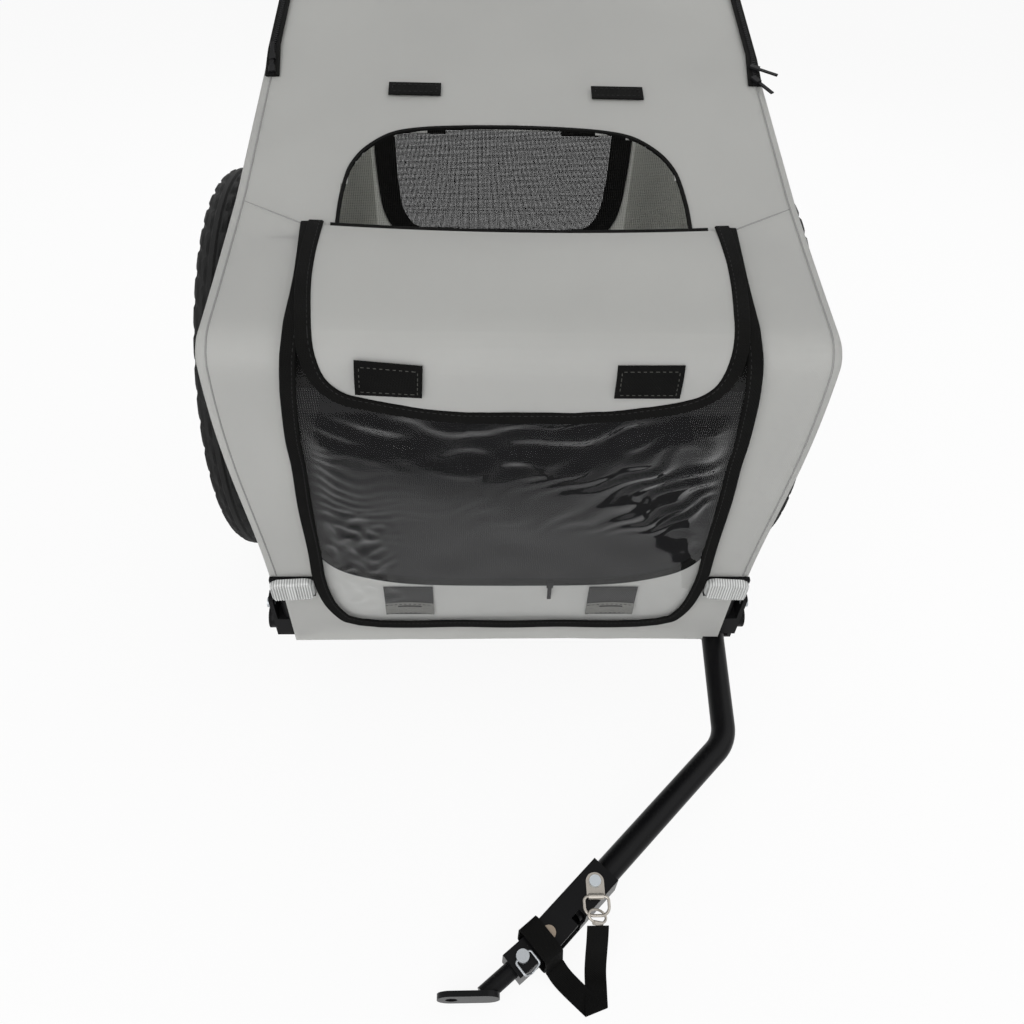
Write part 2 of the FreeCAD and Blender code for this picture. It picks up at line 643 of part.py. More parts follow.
def hoop(post_y, upper_points):
    """Upper frame: tongue on each knuckle, posts and top bar in one bent tube."""
    start_z = KNUCKLE_Z + UPPER_START
    right = [V(RAIL_X, post_y, start_z)] + upper_points
    left = [V(-point.x, point.y, point.z) for point in reversed(right)]
    body = bent_tube(right + left, HOOP_BEND_R, POST_R, TUBE_WALL)
    half = TONGUE_THICK / 2
    for side in SIDES:
        x = side * RAIL_X
        eye = rod(V(x - half, post_y, KNUCKLE_Z), V(x + half, post_y, KNUCKLE_Z), TONGUE_R)
        neck = box((x - half, x + half), (post_y - TONGUE_R, post_y + TONGUE_R), (KNUCKLE_Z, start_z))
        plug = rod(V(x, post_y, start_z), V(x, post_y, start_z + FORK_PLUG), POST_R - TUBE_WALL / 2)
        bore = rod(V(x - OVERRUN, post_y, KNUCKLE_Z), V(x + OVERRUN, post_y, KNUCKLE_Z),
                   KNUCKLE_PIN_R + RUN_FIT)
        body = body.fuse(eye.fuse(neck).fuse(plug)).cut(bore)
    return body.removeSplitter()


def roof_z(y):
    return ELBOW_Z + (y - FRONT_Y) * ROOF_SLOPE


def under_roof(y):
    """Height of a bar's axis that lies just under the roof cloth."""
    return roof_z(y) - (CLOTH + SOFT_GAP + POST_R) / math.cos(ROOF_ANGLE)


def front_hoop():
    points = [V(RAIL_X, y, under_roof(y)) for y in (FRONT_TUBE_Y, CREASE_BAR_Y)]
    return hoop(FRONT_TUBE_Y, points)


def rear_hoop():
    bar_y = ROOF_REAR_Y - REAR_BAR_SETBACK
    bar_x = RAIL_X - LEAN * (under_roof(bar_y) - ELBOW_Z) - CLOTH
    points = [V(RAIL_X, REAR_TUBE_Y, ELBOW_Z - CLOTH), V(bar_x, bar_y, under_roof(bar_y))]
    return hoop(REAR_TUBE_Y, points)


# Cabin cover

def inset_points(points, distances):
    """Move each edge of a clockwise outline inwards by its own distance."""
    count = len(points)
    lines = []
    for index in range(count):
        start, end = points[index], points[(index + 1) % count]
        along = (end - start).normalize()
        inward = along.cross(X_AXIS)
        lines.append((start + inward * distances[index], along))
    moved = []
    for index in range(count):
        (base_a, along_a), (base_b, along_b) = lines[index - 1], lines[index]
        cross = along_a.y * along_b.z - along_a.z * along_b.y
        gap = base_b - base_a
        moved.append(base_a + along_a * ((gap.y * along_b.z - gap.z * along_b.y) / cross))
    return moved


def profile_solid(inset, half_width):
    """Side outline of the cabin, drawn in by inset, as a solid across the width."""
    points = [V(-half_width, FRONT_Y, HEM_Z), V(-half_width, FRONT_Y, ELBOW_Z),
              V(-half_width, ROOF_REAR_Y, ROOF_REAR_Z), V(-half_width, REAR_Y, ELBOW_Z),
              V(-half_width, REAR_Y, HEM_Z)]
    bottom = -OVERRUN if inset > 0 else 0
    moved = inset_points(points, [inset, inset, inset, inset, bottom])
    radii = [0, ELBOW_R - inset, ROOF_CORNER_R - inset, REAR_ELBOW_R - inset, 0]
    return prism(moved, radii, X_AXIS * 2 * half_width)


def width_solid(inset):
    """Front outline of the cabin: upright to the elbow, then leaning in."""
    low_z, high_z = HEM_Z - 2 * OVERRUN, ROOF_REAR_Z + 2 * OVERRUN
    low_y, depth = FRONT_Y - OVERRUN, REAR_Y - FRONT_Y + 2 * OVERRUN
    half = HALF_WIDTH - inset
    top_half = half - LEAN * (high_z - ELBOW_Z)
    right = [V(half, low_y, low_z), V(half, low_y, ELBOW_Z), V(top_half, low_y, high_z)]
    left = [V(-point.x, point.y, point.z) for point in reversed(right)]
    return prism(right + left, [0] * len(right + left), Y_AXIS * depth)


def panel_band():
    """Front, roof and rear cloth as one bent band between the side panels."""
    outer = profile_solid(0, HALF_WIDTH).common(width_solid(CLOTH))
    return outer.cut(profile_solid(CLOTH, HALF_WIDTH + OVERRUN))


def upright_outline(half_width, low_z, high_z, low_r, high_r, y, depth):
    """Upright plate with rounded corners, drawn facing Y."""
    points = [V(-half_width, y, low_z), V(half_width, y, low_z),
              V(half_width, y, high_z), V(-half_width, y, high_z)]
    return prism(points, [low_r, low_r, high_r, high_r], Y_AXIS * depth)


def front_door_plate(clearance, y, depth):
    return upright_outline(DOOR_HALF_WIDTH - clearance, DOOR_BOTTOM_Z + clearance, DOOR_TOP_Z - clearance,
                           DOOR_CORNER_R, DOOR_TOP_CORNER_R, y, depth)


def rear_door_plate(clearance, y, depth):
    return upright_outline(REAR_DOOR_HALF_WIDTH - clearance, REAR_DOOR_BOTTOM_Z + clearance,
                           REAR_DOOR_TOP_Z - clearance, DOOR_CORNER_R, DOOR_TOP_CORNER_R, y, depth)


def hem_corner(y):
    """Wedge that trims a lower corner of the front or rear cloth."""
    points = [V(HALF_WIDTH + OVERRUN, y - OVERRUN, HEM_Z - OVERRUN),
              V(HALF_WIDTH - HEM_NARROW, y - OVERRUN, HEM_Z - OVERRUN),
              V(HALF_WIDTH - HEM_NARROW, y - OVERRUN, HEM_Z),
              V(HALF_WIDTH, y - OVERRUN, HEM_Z + HEM_CORNER_RISE),
              V(HALF_WIDTH + OVERRUN, y - OVERRUN, HEM_Z + HEM_CORNER_RISE)]
    return prism(points, [0] * len(points), Y_AXIS * 2 * OVERRUN)


def trimmed_hem(panel, y):
    for side in SIDES:
        panel = panel.cut(on_side(hem_corner(y), side))
    return panel


def front_panel(band):
    region = box((-HALF_WIDTH, HALF_WIDTH), (FRONT_Y - OVERRUN, CREASE_Y), (0, ROOF_REAR_Z))
    opening = front_door_plate(0, FRONT_Y - OVERRUN, 2 * OVERRUN)
    return trimmed_hem(band.common(region).cut(opening), FRONT_Y)


def roof_split_y():
    return ROOF_REAR_Y - ROOF_CORNER_R


def roof_panel(band):
    region = box((-HALF_WIDTH, HALF_WIDTH), (CREASE_Y, roof_split_y()), (ELBOW_Z, ROOF_REAR_Z + OVERRUN))
    return band.common(region).cut(arch_prism(0))


def rear_panel(band):
    region = box((-HALF_WIDTH, HALF_WIDTH), (roof_split_y(), REAR_Y + OVERRUN), (0, ROOF_REAR_Z + OVERRUN))
    opening = rear_door_plate(0, REAR_Y - OVERRUN, 2 * OVERRUN)
    return trimmed_hem(band.common(region).cut(opening), REAR_Y)


def arch_prism(clearance):
    """Skylight outline in plan: straight base at the crease, arched back edge."""
    base_y = CREASE_Y + clearance
    back_y = ARCH_TOP_Y - clearance
    half = ARCH_HALF_WIDTH - clearance
    top_half = half - ARCH_TOP_NARROW
    points = [V(-half, base_y, ELBOW_Z), V(half, base_y, ELBOW_Z), V(top_half, back_y, ELBOW_Z),
              V(-top_half, back_y, ELBOW_Z)]
    return prism(points, [0, 0, ARCH_SHOULDER_R, ARCH_SHOULDER_R], Z_AXIS * (ROOF_REAR_Z - ELBOW_Z + OVERRUN))


def skylight_mesh():
    middle = (CLOTH - MESH) / 2
    sheet = profile_solid(middle, HALF_WIDTH).cut(profile_solid(middle + MESH, HALF_WIDTH + OVERRUN))
    return sheet.common(arch_prism(SOFT_GAP))


def side_corner(y, inward):
    outer_y = y - inward * OVERRUN
    points = [V(0, outer_y, HEM_Z - OVERRUN), V(0, outer_y, HEM_Z + HEM_CORNER_RISE),
              V(0, y, HEM_Z + HEM_CORNER_RISE), V(0, y + inward * SIDE_CORNER_RUN, HEM_Z),
              V(0, y + inward * SIDE_CORNER_RUN, HEM_Z - OVERRUN)]
    return prism(points, [0] * len(points), X_AXIS * (HALF_WIDTH + OVERRUN))


def side_panels():
    """Side cloth, trimmed round the corner brackets and the axle receiver."""
    both = profile_solid(0, HALF_WIDTH).common(width_solid(0)).cut(width_solid(CLOTH))
    right = both.common(box((0, HALF_WIDTH + OVERRUN), (FRONT_Y - OVERRUN, REAR_Y + OVERRUN),
                            (0, ROOF_REAR_Z + OVERRUN)))
    right = right.cut(side_corner(FRONT_Y, 1)).cut(side_corner(REAR_Y, -1))
    notch_half = RECEIVER_HALF_LENGTH + AXLE_NOTCH_MARGIN
    notch = box((0, HALF_WIDTH + OVERRUN), (-notch_half, notch_half),
                (0, AXLE_Z + RECEIVER_HALF_HEIGHT + AXLE_NOTCH_MARGIN))
    right = right.cut(notch)
    return [on_side(right, side) for side in SIDES]


def front_door():
    return front_door_plate(SOFT_GAP, FRONT_Y + (CLOTH - MESH) / 2, MESH)


def door_zip_pull():
    bottom = DOOR_BOTTOM_Z + PULL_WIDTH
    face_y = FRONT_Y + (CLOTH - MESH) / 2
    return box((DOOR_PULL_X - PULL_WIDTH / 2, DOOR_PULL_X + PULL_WIDTH / 2), (face_y - PULL_THICK, face_y),
               (bottom, bottom + PULL_LENGTH))


def rear_door():
    return rear_door_plate(SOFT_GAP, REAR_Y - (CLOTH + MESH) / 2, MESH)


def on_roof(x_span, y_span, lift, thick):
    """Plate lying on the roof cloth."""
    sheet = profile_solid(-lift - thick, HALF_WIDTH).cut(profile_solid(-lift, HALF_WIDTH + OVERRUN))
    return sheet.common(box(x_span, y_span, (ELBOW_Z, ROOF_REAR_Z + OVERRUN)))


def roof_strips():
    x_span = (STRIP_X - STRIP_WIDTH / 2, STRIP_X + STRIP_WIDTH / 2)
    y_span = (STRIP_Y - STRIP_DEPTH / 2, STRIP_Y + STRIP_DEPTH / 2)
    strip = on_roof(x_span, y_span, 0, ZIP_THICK)
    return [on_side(strip, side) for side in SIDES]


def roof_zips():
    """Zip chains along both roof edges, each with its slider pull at the front end."""
    edge_x = ROOF_REAR_HALF_WIDTH - ZIP_EDGE
    chain = on_roof((edge_x - ZIP_WIDTH, edge_x), (ZIP_FRONT_Y, ZIP_REAR_Y), 0, ZIP_THICK)
    pull_x = edge_x - ZIP_WIDTH / 2
    pull = on_roof((pull_x - PULL_WIDTH / 2, pull_x + PULL_WIDTH / 2),
                   (ZIP_FRONT_Y, ZIP_FRONT_Y + PULL_LENGTH), ZIP_THICK, PULL_THICK)
    return [on_side(piece, side) for piece in (chain, pull) for side in SIDES]


# Rain cover and skylight flap

def hung_sheet(lift, thick, half_width, y_span, z_span):
    """Sheet that follows the hood and the front at a lift from the cloth."""
    sheet = profile_solid(-lift - thick, half_width).cut(profile_solid(-lift, half_width + OVERRUN))
    return sheet.common(box((-half_width, half_width), y_span, z_span))


def rain_cover_top():
    return hung_sheet(RAIN_LIFT, RAIN_THICK, RAIN_TOP_HALF_WIDTH, (FRONT_Y - OVERRUN, CREASE_Y),
                      (RAIN_HINGE_Z + RAIN_SPLIT, ROOF_REAR_Z))


def rain_outline(inset, y, depth):
    low = RAIN_LOW_HALF_WIDTH - inset
    high = RAIN_HINGE_HALF_WIDTH - inset
    points = [V(-low, y, RAIN_BOTTOM_Z + inset), V(low, y, RAIN_BOTTOM_Z + inset), V(low, y, RAIN_LOW_Z),
              V(high, y, RAIN_HINGE_Z), V(-high, y, RAIN_HINGE_Z), V(-low, y, RAIN_LOW_Z)]
    radius = RAIN_CORNER_R - inset
    return prism(points, [radius, radius, 0, 0, 0, 0], Y_AXIS * depth)


def rain_cover():
    return rain_outline(BINDING_WIDTH, FRONT_Y - RAIN_LIFT - RAIN_THICK, RAIN_THICK)


def rain_cover_binding():
    """Webbing sewn round the two sides and the bottom of the rain cover."""
    depth = BINDING_THICK
    y = FRONT_Y - BINDING_LIFT - depth
    window = rain_outline(BINDING_WIDTH, y - OVERRUN, depth + 2 * OVERRUN)
    return rain_outline(0, y, depth).cut(window)


def sky_flap():
    """Part of the flap that lies on the hood, from the crease to the elbow."""
    y_span = (FRONT_Y + ELBOW_R / 2, CREASE_Y)
    return hung_sheet(FLAP_LIFT, FLAP_THICK, FLAP_HALF_WIDTH, y_span, (ELBOW_Z, ROOF_REAR_Z))


def flap_tip():
    """Part of the flap that bends over the elbow and hangs down the front."""
    y_span = (FRONT_Y - OVERRUN, FRONT_Y + ELBOW_R / 2 - FLAP_SPLIT)
    sheet = hung_sheet(FLAP_LIFT, FLAP_THICK, FLAP_HALF_WIDTH, y_span, (FLAP_TIP_Z, ROOF_REAR_Z))
    outline = upright_outline(FLAP_HALF_WIDTH, FLAP_TIP_Z, ROOF_REAR_Z, FLAP_TIP_R, 0, FRONT_Y - OVERRUN,
                              ELBOW_R + OVERRUN)
    return sheet.common(outline)


def front_plates(x, z, width, height, lift, thick):
    """Pair of plates on the front, at a lift from the cloth."""
    plate = box((x - width / 2, x + width / 2), (FRONT_Y - lift - thick, FRONT_Y - lift),
                (z - height / 2, z + height / 2))
    return [on_side(plate, side) for side in SIDES]


def flap_patches():
    return front_plates(PATCH_X, PATCH_Z, PATCH_WIDTH, PATCH_HEIGHT, FLAP_LIFT + FLAP_THICK, PATCH_THICK)


def door_loops():
    return front_plates(LOOP_X, LOOP_Z, LOOP_WIDTH, LOOP_HEIGHT, 0, LOOP_THICK)


def reflector_backs():
    return front_plates(REFLECTOR_X, REFLECTOR_Z, REFLECTOR_WIDTH, REFLECTOR_HEIGHT, 0, REFLECTOR_BACK)


def reflector_lenses():
    width = REFLECTOR_WIDTH - 2 * REFLECTOR_RIM
    height = REFLECTOR_HEIGHT - 2 * REFLECTOR_RIM
    return front_plates(REFLECTOR_X, REFLECTOR_Z, width, height, REFLECTOR_BACK, REFLECTOR_LENS)


# Drawbar

def fork_plates():
    """Lower and upper limits of the two fork plates round the drawbar tube."""
    top = DRAWBAR_Z + TUBE_R + FORK_GAP
    bottom = DRAWBAR_Z - TUBE_R - FORK_GAP
    return (bottom - FORK_PLATE, bottom), (top, top + FORK_PLATE)


def drawbar_bracket():
    """Fork under the left front corner, open to the front and to the left for the drawbar's swing."""
    (low_z, low_top), (high_bottom, high_z) = fork_plates()
    web_x = PIVOT_POINT.x + math.hypot(DRAWBAR_TAIL, TUBE_R) + FORK_WEB_GAP
    x_span = (PIVOT_POINT.x - FORK_HALF_WIDTH, web_x + FORK_PLATE)
    y_span = (PIVOT_POINT.y - FORK_FRONT, PIVOT_POINT.y + FORK_HALF_WIDTH)
    body = box(x_span, y_span, (low_z, low_top)).fuse(box(x_span, y_span, (high_bottom, high_z)))
    body = body.fuse(box((web_x, web_x + FORK_PLATE), y_span, (low_z, high_z))).removeSplitter()
    hole = rod(PIVOT_POINT - Z_AXIS * 2 * OVERRUN, PIVOT_POINT + Z_AXIS * 2 * OVERRUN, PIVOT_BOLT_R + RUN_FIT)
    return body.cut(hole)


def drawbar_pivot_bolt():
    """Clamp bolt with a lobed hand knob under the fork."""
    (low_z, _), (_, high_z) = fork_plates()
    axis = V(PIVOT_POINT.x, PIVOT_POINT.y, 0)
    knob = rod(axis + Z_AXIS * (low_z - KNOB_HEIGHT), axis + Z_AXIS * low_z, KNOB_R)
    for index in range(KNOB_LOBES):
        turn = 2 * math.pi * index / KNOB_LOBES
        notch = axis + V(math.cos(turn), math.sin(turn), 0) * (KNOB_R + KNOB_SCALLOP_R / 2)
        knob = knob.cut(rod(notch, notch + Z_AXIS * (low_z + OVERRUN), KNOB_SCALLOP_R))
    return knob.fuse(rod(axis + Z_AXIS * low_z, axis + Z_AXIS * high_z, PIVOT_BOLT_R))


def along_drawbar(start, direction, shape):
    """Put a shape drawn along +X at the origin onto a point of the drawbar."""
    placed = shape.copy()
    placed.rotate(ORIGIN, Z_AXIS, math.degrees(math.atan2(direction.y, direction.x)))
    placed.translate(start)
    return placed


def drawbar_tube():
    first = (BEND_POINT - PIVOT_POINT).normalize()
    tail = PIVOT_POINT - first * DRAWBAR_TAIL
    body = bent_tube([tail, BEND_POINT, TUBE_END], DRAWBAR_BEND_R, TUBE_R, TUBE_WALL)
    hole = rod(PIVOT_POINT - Z_AXIS * 2 * OVERRUN, PIVOT_POINT + Z_AXIS * 2 * OVERRUN, PIVOT_BOLT_R + RUN_FIT)
    return body.cut(hole)


def drawbar_sleeve():
    """Square sleeve over the tube end, its side walls cut away round the hitch pivot."""
    inner = SLEEVE_HALF - SLEEVE_WALL
    block = box((0, SLEEVE_LENGTH), (-SLEEVE_HALF, SLEEVE_HALF), (-SLEEVE_HALF, SLEEVE_HALF))
    hollow = box((-OVERRUN, SLEEVE_LENGTH + OVERRUN), (-inner, inner), (-inner, inner))
    beyond = SLEEVE_HALF + OVERRUN
    sides = box((SLEEVE_LENGTH - EAR_RUN, SLEEVE_LENGTH + OVERRUN), (-beyond, beyond), (-inner, inner))
    notch = box((NOTCH_PLACE, NOTCH_PLACE + NOTCH_LENGTH), (SLEEVE_HALF - NOTCH_DEPTH, SLEEVE_HALF + OVERRUN),
                (0, SLEEVE_HALF + OVERRUN))
    rivet = SLEEVE_LENGTH - RIVET_SETBACK
    hole = rod(V(rivet, 0, -SLEEVE_HALF - OVERRUN), V(rivet, 0, SLEEVE_HALF + OVERRUN), RIVET_R)
    sleeve = block.cut(hollow).cut(sides).cut(notch).cut(hole)
    return along_drawbar(SLEEVE_START, DRAWBAR_DIRECTION, sleeve)


def tab_screw_point():
    """Where the D-ring tab is screwed to the top of the sleeve."""
    return SLEEVE_START + DRAWBAR_DIRECTION * TAB_WIDTH + Z_AXIS * SLEEVE_HALF


def drawbar_fasteners():
    """Hitch rivet through the sleeve's ears, and the screw that holds the D-ring tab."""
    top = RIVET_POINT + Z_AXIS * SLEEVE_HALF
    bottom = RIVET_POINT - Z_AXIS * SLEEVE_HALF
    rivet = rod(bottom, top, RIVET_R - RUN_FIT).fuse(rod(top, top + Z_AXIS * RIVET_HEAD, RIVET_HEAD_R))
    rivet = rivet.fuse(rod(bottom - Z_AXIS * RIVET_TAIL, bottom, RIVET_HEAD_R))
    seat = tab_screw_point() + Z_AXIS * TAB_THICK
    screw = rod(seat, seat + Z_AXIS * SCREW_HEAD_LENGTH, SCREW_HEAD_R)
    return [rivet, screw]


def ring_bar_point():
    """Middle of the D-ring's straight bar, at the free end of its tab."""
    return tab_screw_point() + V(0, -TAB_LENGTH + TAB_WIDTH / 2 - RING_WIRE_R, RING_WIRE_R + TAB_THICK / 2)


def ring_tab():
    """Metal tab with a rounded end under the screw and a rolled eye round the D-ring's bar."""
    seat = tab_screw_point()
    half = TAB_WIDTH / 2
    flat = rod(seat, seat + Z_AXIS * TAB_THICK, half)
    bar = ring_bar_point()
    flat = flat.fuse(box((seat.x - half, seat.x + half), (bar.y, seat.y), (seat.z, seat.z + TAB_THICK)))
    eye_half = half - RING_WIRE_R
    eye_r = RING_WIRE_R + RUN_FIT + TAB_THICK
    eye = rod(bar - X_AXIS * eye_half, bar + X_AXIS * eye_half, eye_r)
    bore = rod(bar - X_AXIS * half, bar + X_AXIS * half, RING_WIRE_R + RUN_FIT)
    above = box((bar.x - half, bar.x + half), (bar.y - eye_r, bar.y + eye_r), (seat.z, bar.z + eye_r))
    return flat.fuse(eye.common(above)).cut(bore).removeSplitter()


def drooped(shape, pivot):
    placed = shape.copy()
    placed.rotate(pivot, X_AXIS, RING_DROOP_DEG)
    return placed


def d_ring():
    bar = ring_bar_point()
    corners = [bar, bar + X_AXIS * RING_HALF_WIDTH, bar + V(RING_HALF_WIDTH, -RING_DEPTH, 0),
               bar + V(-RING_HALF_WIDTH, -RING_DEPTH, 0), bar - X_AXIS * RING_HALF_WIDTH, bar]
    path = rounded_wire(corners, [0, RING_TIGHT_R, RING_ROUND_R, RING_ROUND_R, RING_TIGHT_R, 0], False)
    section = Part.Wire(Part.Circle(bar, X_AXIS, RING_WIRE_R).toShape())
    return drooped(path.makePipeShell([section], True, False), bar)


def ring_end_point():
    """Middle of the D-ring's far wire, which the snap is clipped round."""
    droop = math.radians(RING_DROOP_DEG)
    return ring_bar_point() + V(0, -math.cos(droop), -math.sin(droop)) * RING_DEPTH


def snap_centre():
    """The snap hangs on the D-ring, a little under its far wire."""
    return ring_end_point() - Z_AXIS * SNAP_SINK


def snap_front_point():
    """Outer face of the snap's barrel, where the strap's sewn end begins."""
    return snap_centre() - Y_AXIS * (SNAP_HALF_DEPTH + SNAP_BARREL_R)


def snap_hook():
    """Oval wire snap linked through the D-ring, rolled so that one end passes under it."""
    loop = Part.Wire(Part.Ellipse(ORIGIN, SNAP_HALF_WIDTH, SNAP_HALF_DEPTH).toShape())
    section = Part.Wire(Part.Circle(V(SNAP_HALF_WIDTH, 0, 0), Y_AXIS, SNAP_WIRE_R).toShape())
    hook = loop.makePipeShell([section], True, False)
    front = V(0, -SNAP_HALF_DEPTH, 0)
    half_barrel = X_AXIS * (SNAP_HALF_WIDTH / 2)
    hook = hook.fuse(rod(front - half_barrel, front + half_barrel, SNAP_BARREL_R))
    hook.rotate(ORIGIN, Y_AXIS, SNAP_ROLL_DEG)
    hook.translate(snap_centre())
    return hook


# Hitch

def hitch_socket():
    """Square socket that swings on the rivet and takes the hitch rod."""
    block = box((0, SOCKET_LENGTH), (-SOCKET_HALF, SOCKET_HALF), (-SOCKET_HALF, SOCKET_HALF))
    heel = rod(V(0, 0, -SOCKET_HALF), V(0, 0, SOCKET_HALF), SOCKET_HALF)
    body = block.fuse(heel)
    for place, radius in ((0, RIVET_R + RUN_FIT), (PIN_PLACE, PIN_R + RUN_FIT)):
        body = body.cut(rod(V(place, 0, -OVERRUN), V(place, 0, OVERRUN), radius))
    bore = rod(V(SOCKET_LENGTH - HITCH_ROD_SINK, 0, 0), V(SOCKET_LENGTH + OVERRUN, 0, 0),
               HITCH_ROD_R + SLIP_FIT)
    return along_drawbar(RIVET_POINT, SOCKET_DIRECTION, body.cut(bore))


def hitch_arm():
    """Rod pinned in the socket, with the plate that goes on the bike's axle."""
    start = SOCKET_END - SOCKET_DIRECTION * (HITCH_ROD_SINK - LIFT)
    shaft = rod(start, ROD_END + SOCKET_DIRECTION * (PLATE_THICK / 2), HITCH_ROD_R)
    shaft = shaft.cut(rod(PIN_POINT - Z_AXIS * OVERRUN, PIN_POINT + Z_AXIS * OVERRUN, PIN_R + RUN_FIT))
    right_x = ROD_END.x + PLATE_HALF_HEIGHT
    near = V(right_x, PLATE_FRONT_Y, DRAWBAR_Z - PLATE_HALF_HEIGHT)
    far_x = right_x - PLATE_LENGTH
    corners = [near, V(right_x, near.y, near.z + 2 * PLATE_HALF_HEIGHT),
               V(far_x, near.y, near.z + 2 * PLATE_HALF_HEIGHT), V(far_x, near.y, near.z)]
    plate = prism(corners, [PLATE_HALF_HEIGHT - LIFT] * len(corners), Y_AXIS * PLATE_THICK)
    ahead = box((far_x - OVERRUN, right_x + OVERRUN), (PLATE_FRONT_Y - OVERRUN, PLATE_FRONT_Y),
                (near.z - OVERRUN, near.z + 2 * PLATE_HALF_HEIGHT + OVERRUN))
    body = shaft.cut(ahead).fuse(plate)
    beyond = Y_AXIS * OVERRUN
    return body.cut(rod(hitch_bore_point() - beyond, hitch_bore_point() + beyond, HITCH_BORE_R))


def hitch_bore_point():
    return V(ROD_END.x + 2 * PLATE_HALF_HEIGHT - PLATE_LENGTH, PLATE_FRONT_Y, DRAWBAR_Z)


def hitch_pin():
    top = PIN_POINT + Z_AXIS * (SOCKET_HALF + LIFT)
    bottom = PIN_POINT - Z_AXIS * (SOCKET_HALF + PIN_TAIL)
    shank = rod(bottom, top, PIN_R)
    head = rod(top, top + Z_AXIS * PIN_HEAD, PIN_CAP_R)
    eye = clip_pivot()
    hole = rod(eye - SOCKET_DIRECTION * OVERRUN, eye + SOCKET_DIRECTION * OVERRUN, CLIP_WIRE_R + RUN_FIT)
    return shank.fuse(head).cut(hole)


def clip_pivot():
    """Cross hole in the pin's head that the wire clip turns in."""
    return PIN_POINT + Z_AXIS * (SOCKET_HALF + LIFT + PIN_HEAD / 2)


def socket_aside():
    """Level direction from the hitch socket's axis to the side that faces the strap."""
    return Z_AXIS.cross(SOCKET_DIRECTION)


def pin_clip():
    """Wire bail: through the pin's head, out over the socket's edge and down its side to a nose."""
    eye = clip_pivot()
    out = socket_aside() * (SOCKET_HALF + LIFT + CLIP_WIRE_R)
    near = eye - SOCKET_DIRECTION * CLIP_HALF_WIDTH
    far = eye + SOCKET_DIRECTION * CLIP_HALF_WIDTH
    nose = eye + out - Z_AXIS * CLIP_DROP
    return swept_rod([eye, near, near + out, nose, far + out, far, eye], CLIP_BEND_R, CLIP_WIRE_R)


# Safety strap

def strap_run(points, width_axis):
    """Flat band whose underside follows points, its width along one axis."""
    half = width_axis * (STRAP_WIDTH / 2)
    slabs = []
    for start, end in zip(points, points[1:]):
        up = (end - start).cross(width_axis).normalize() * STRAP_THICK
        corners = [start - half, start + half, end + half, end - half]
        slabs.append(prism(corners, [0] * len(corners), up if up.z > 0 else up * -1))
    return slabs[0].fuse(slabs[1:])


def strap_loop():
    """Turn of webbing round the hitch socket, between the rivet and the pin."""
    span = strap_loop_half()
    low, high = SLEEVE_HALF + RIVET_TAIL + SOFT_GAP, SLEEVE_HALF + RIVET_HEAD + SOFT_GAP
    outer = box((-STRAP_WIDTH / 2, STRAP_WIDTH / 2), (-span - STRAP_THICK, span + STRAP_THICK),
                (-low - STRAP_THICK, high + STRAP_THICK))
    inner = box((-STRAP_WIDTH, STRAP_WIDTH), (-span, span), (-low, high))
    return along_drawbar(strap_loop_point(), SOCKET_DIRECTION, outer.cut(inner))


def strap_loop_half():
    """Half the loop's inner width, clear of the sleeve's ears at the socket's rest angle."""
    swing = (RIVET_SETBACK + SOFT_GAP) * math.sin(math.radians(SOCKET_TURN_DEG))
    return SLEEVE_HALF + swing + SOFT_GAP


def strap_loop_point():
    return RIVET_POINT + SOCKET_DIRECTION * STRAP_LOOP_PLACE


def safety_strap():
    """Webbing from the snap to the ground, folded there and led back up round the hitch socket."""
    start = snap_front_point() - Y_AXIS * SOFT_GAP
    fold_x, fold_y = STRAP_FOLD
    landing = on_ground((start.x + fold_x) / 2, (start.y + fold_y) / 2, STRAP_FLOOR_GAP + STRAP_THICK)
    fold = on_ground(fold_x, fold_y, STRAP_FLOOR_GAP + STRAP_THICK)
    across = Z_AXIS.cross(fold - start).normalize()
    down_leg = strap_run([start, landing, fold], laid_axis(across))
    lip = strap_loop_point() + socket_aside() * strap_loop_half()
    foot = lip + socket_aside() * STRAP_RISE_RUN
    under_fold = on_ground(fold_x, fold_y, STRAP_FLOOR_GAP)
    landed_foot = on_ground(foot.x, foot.y, STRAP_FLOOR_GAP)
    up_leg = strap_run([under_fold, landed_foot, lip], laid_axis(SOCKET_DIRECTION))
    return down_leg.fuse([up_leg, strap_loop()]).removeSplitter()


def main():
    os.makedirs("parts", exist_ok=True)
    for side, name in ((-1, "right"), (1, "left")):
        save(name + "_tyre", tyre(side))
        save(name + "_rim", rim(side))
        save(name + "_spokes", *spokes(side))
        save(name + "_hub", hub(side))
        save(name + "_bearings", *bearings(side))
        save(name + "_axle", axle(side))
        save(name + "_release_button", release_button(side))
    groups = (cross_tubes, side_rails, tube_end_caps, corner_brackets, frame_screws, axle_receivers,
              lower_posts, knuckle_forks, knuckle_pins, side_panels, roof_strips, roof_zips, flap_patches,
              door_loops, reflector_backs, reflector_lenses, drawbar_fasteners)
    singles = (floor_board, front_hoop, rear_hoop, skylight_mesh, front_door, door_zip_pull, rear_door,
               rain_cover_top, rain_cover, rain_cover_binding, sky_flap, flap_tip, drawbar_bracket,
               drawbar_pivot_bolt, drawbar_tube, drawbar_sleeve, ring_tab, d_ring, snap_hook, hitch_socket,
               hitch_arm, hitch_pin, pin_clip, safety_strap)
    band = panel_band()
    for maker in groups:
        save(maker.__name__, *maker())
    for maker in singles:
        save(maker.__name__, maker())
    for maker in (front_panel, roof_panel, rear_panel):
        save(maker.__name__, maker(band))
    print("tip %.4f deg, shift %.3f mm" % (TIP_DEG, CENTRE_SHIFT.y))


main()
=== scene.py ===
import json
import math
from bisect import bisect_right
from contextlib import contextmanager

import bmesh
import bpy
from mathutils import Matrix, Vector, noise


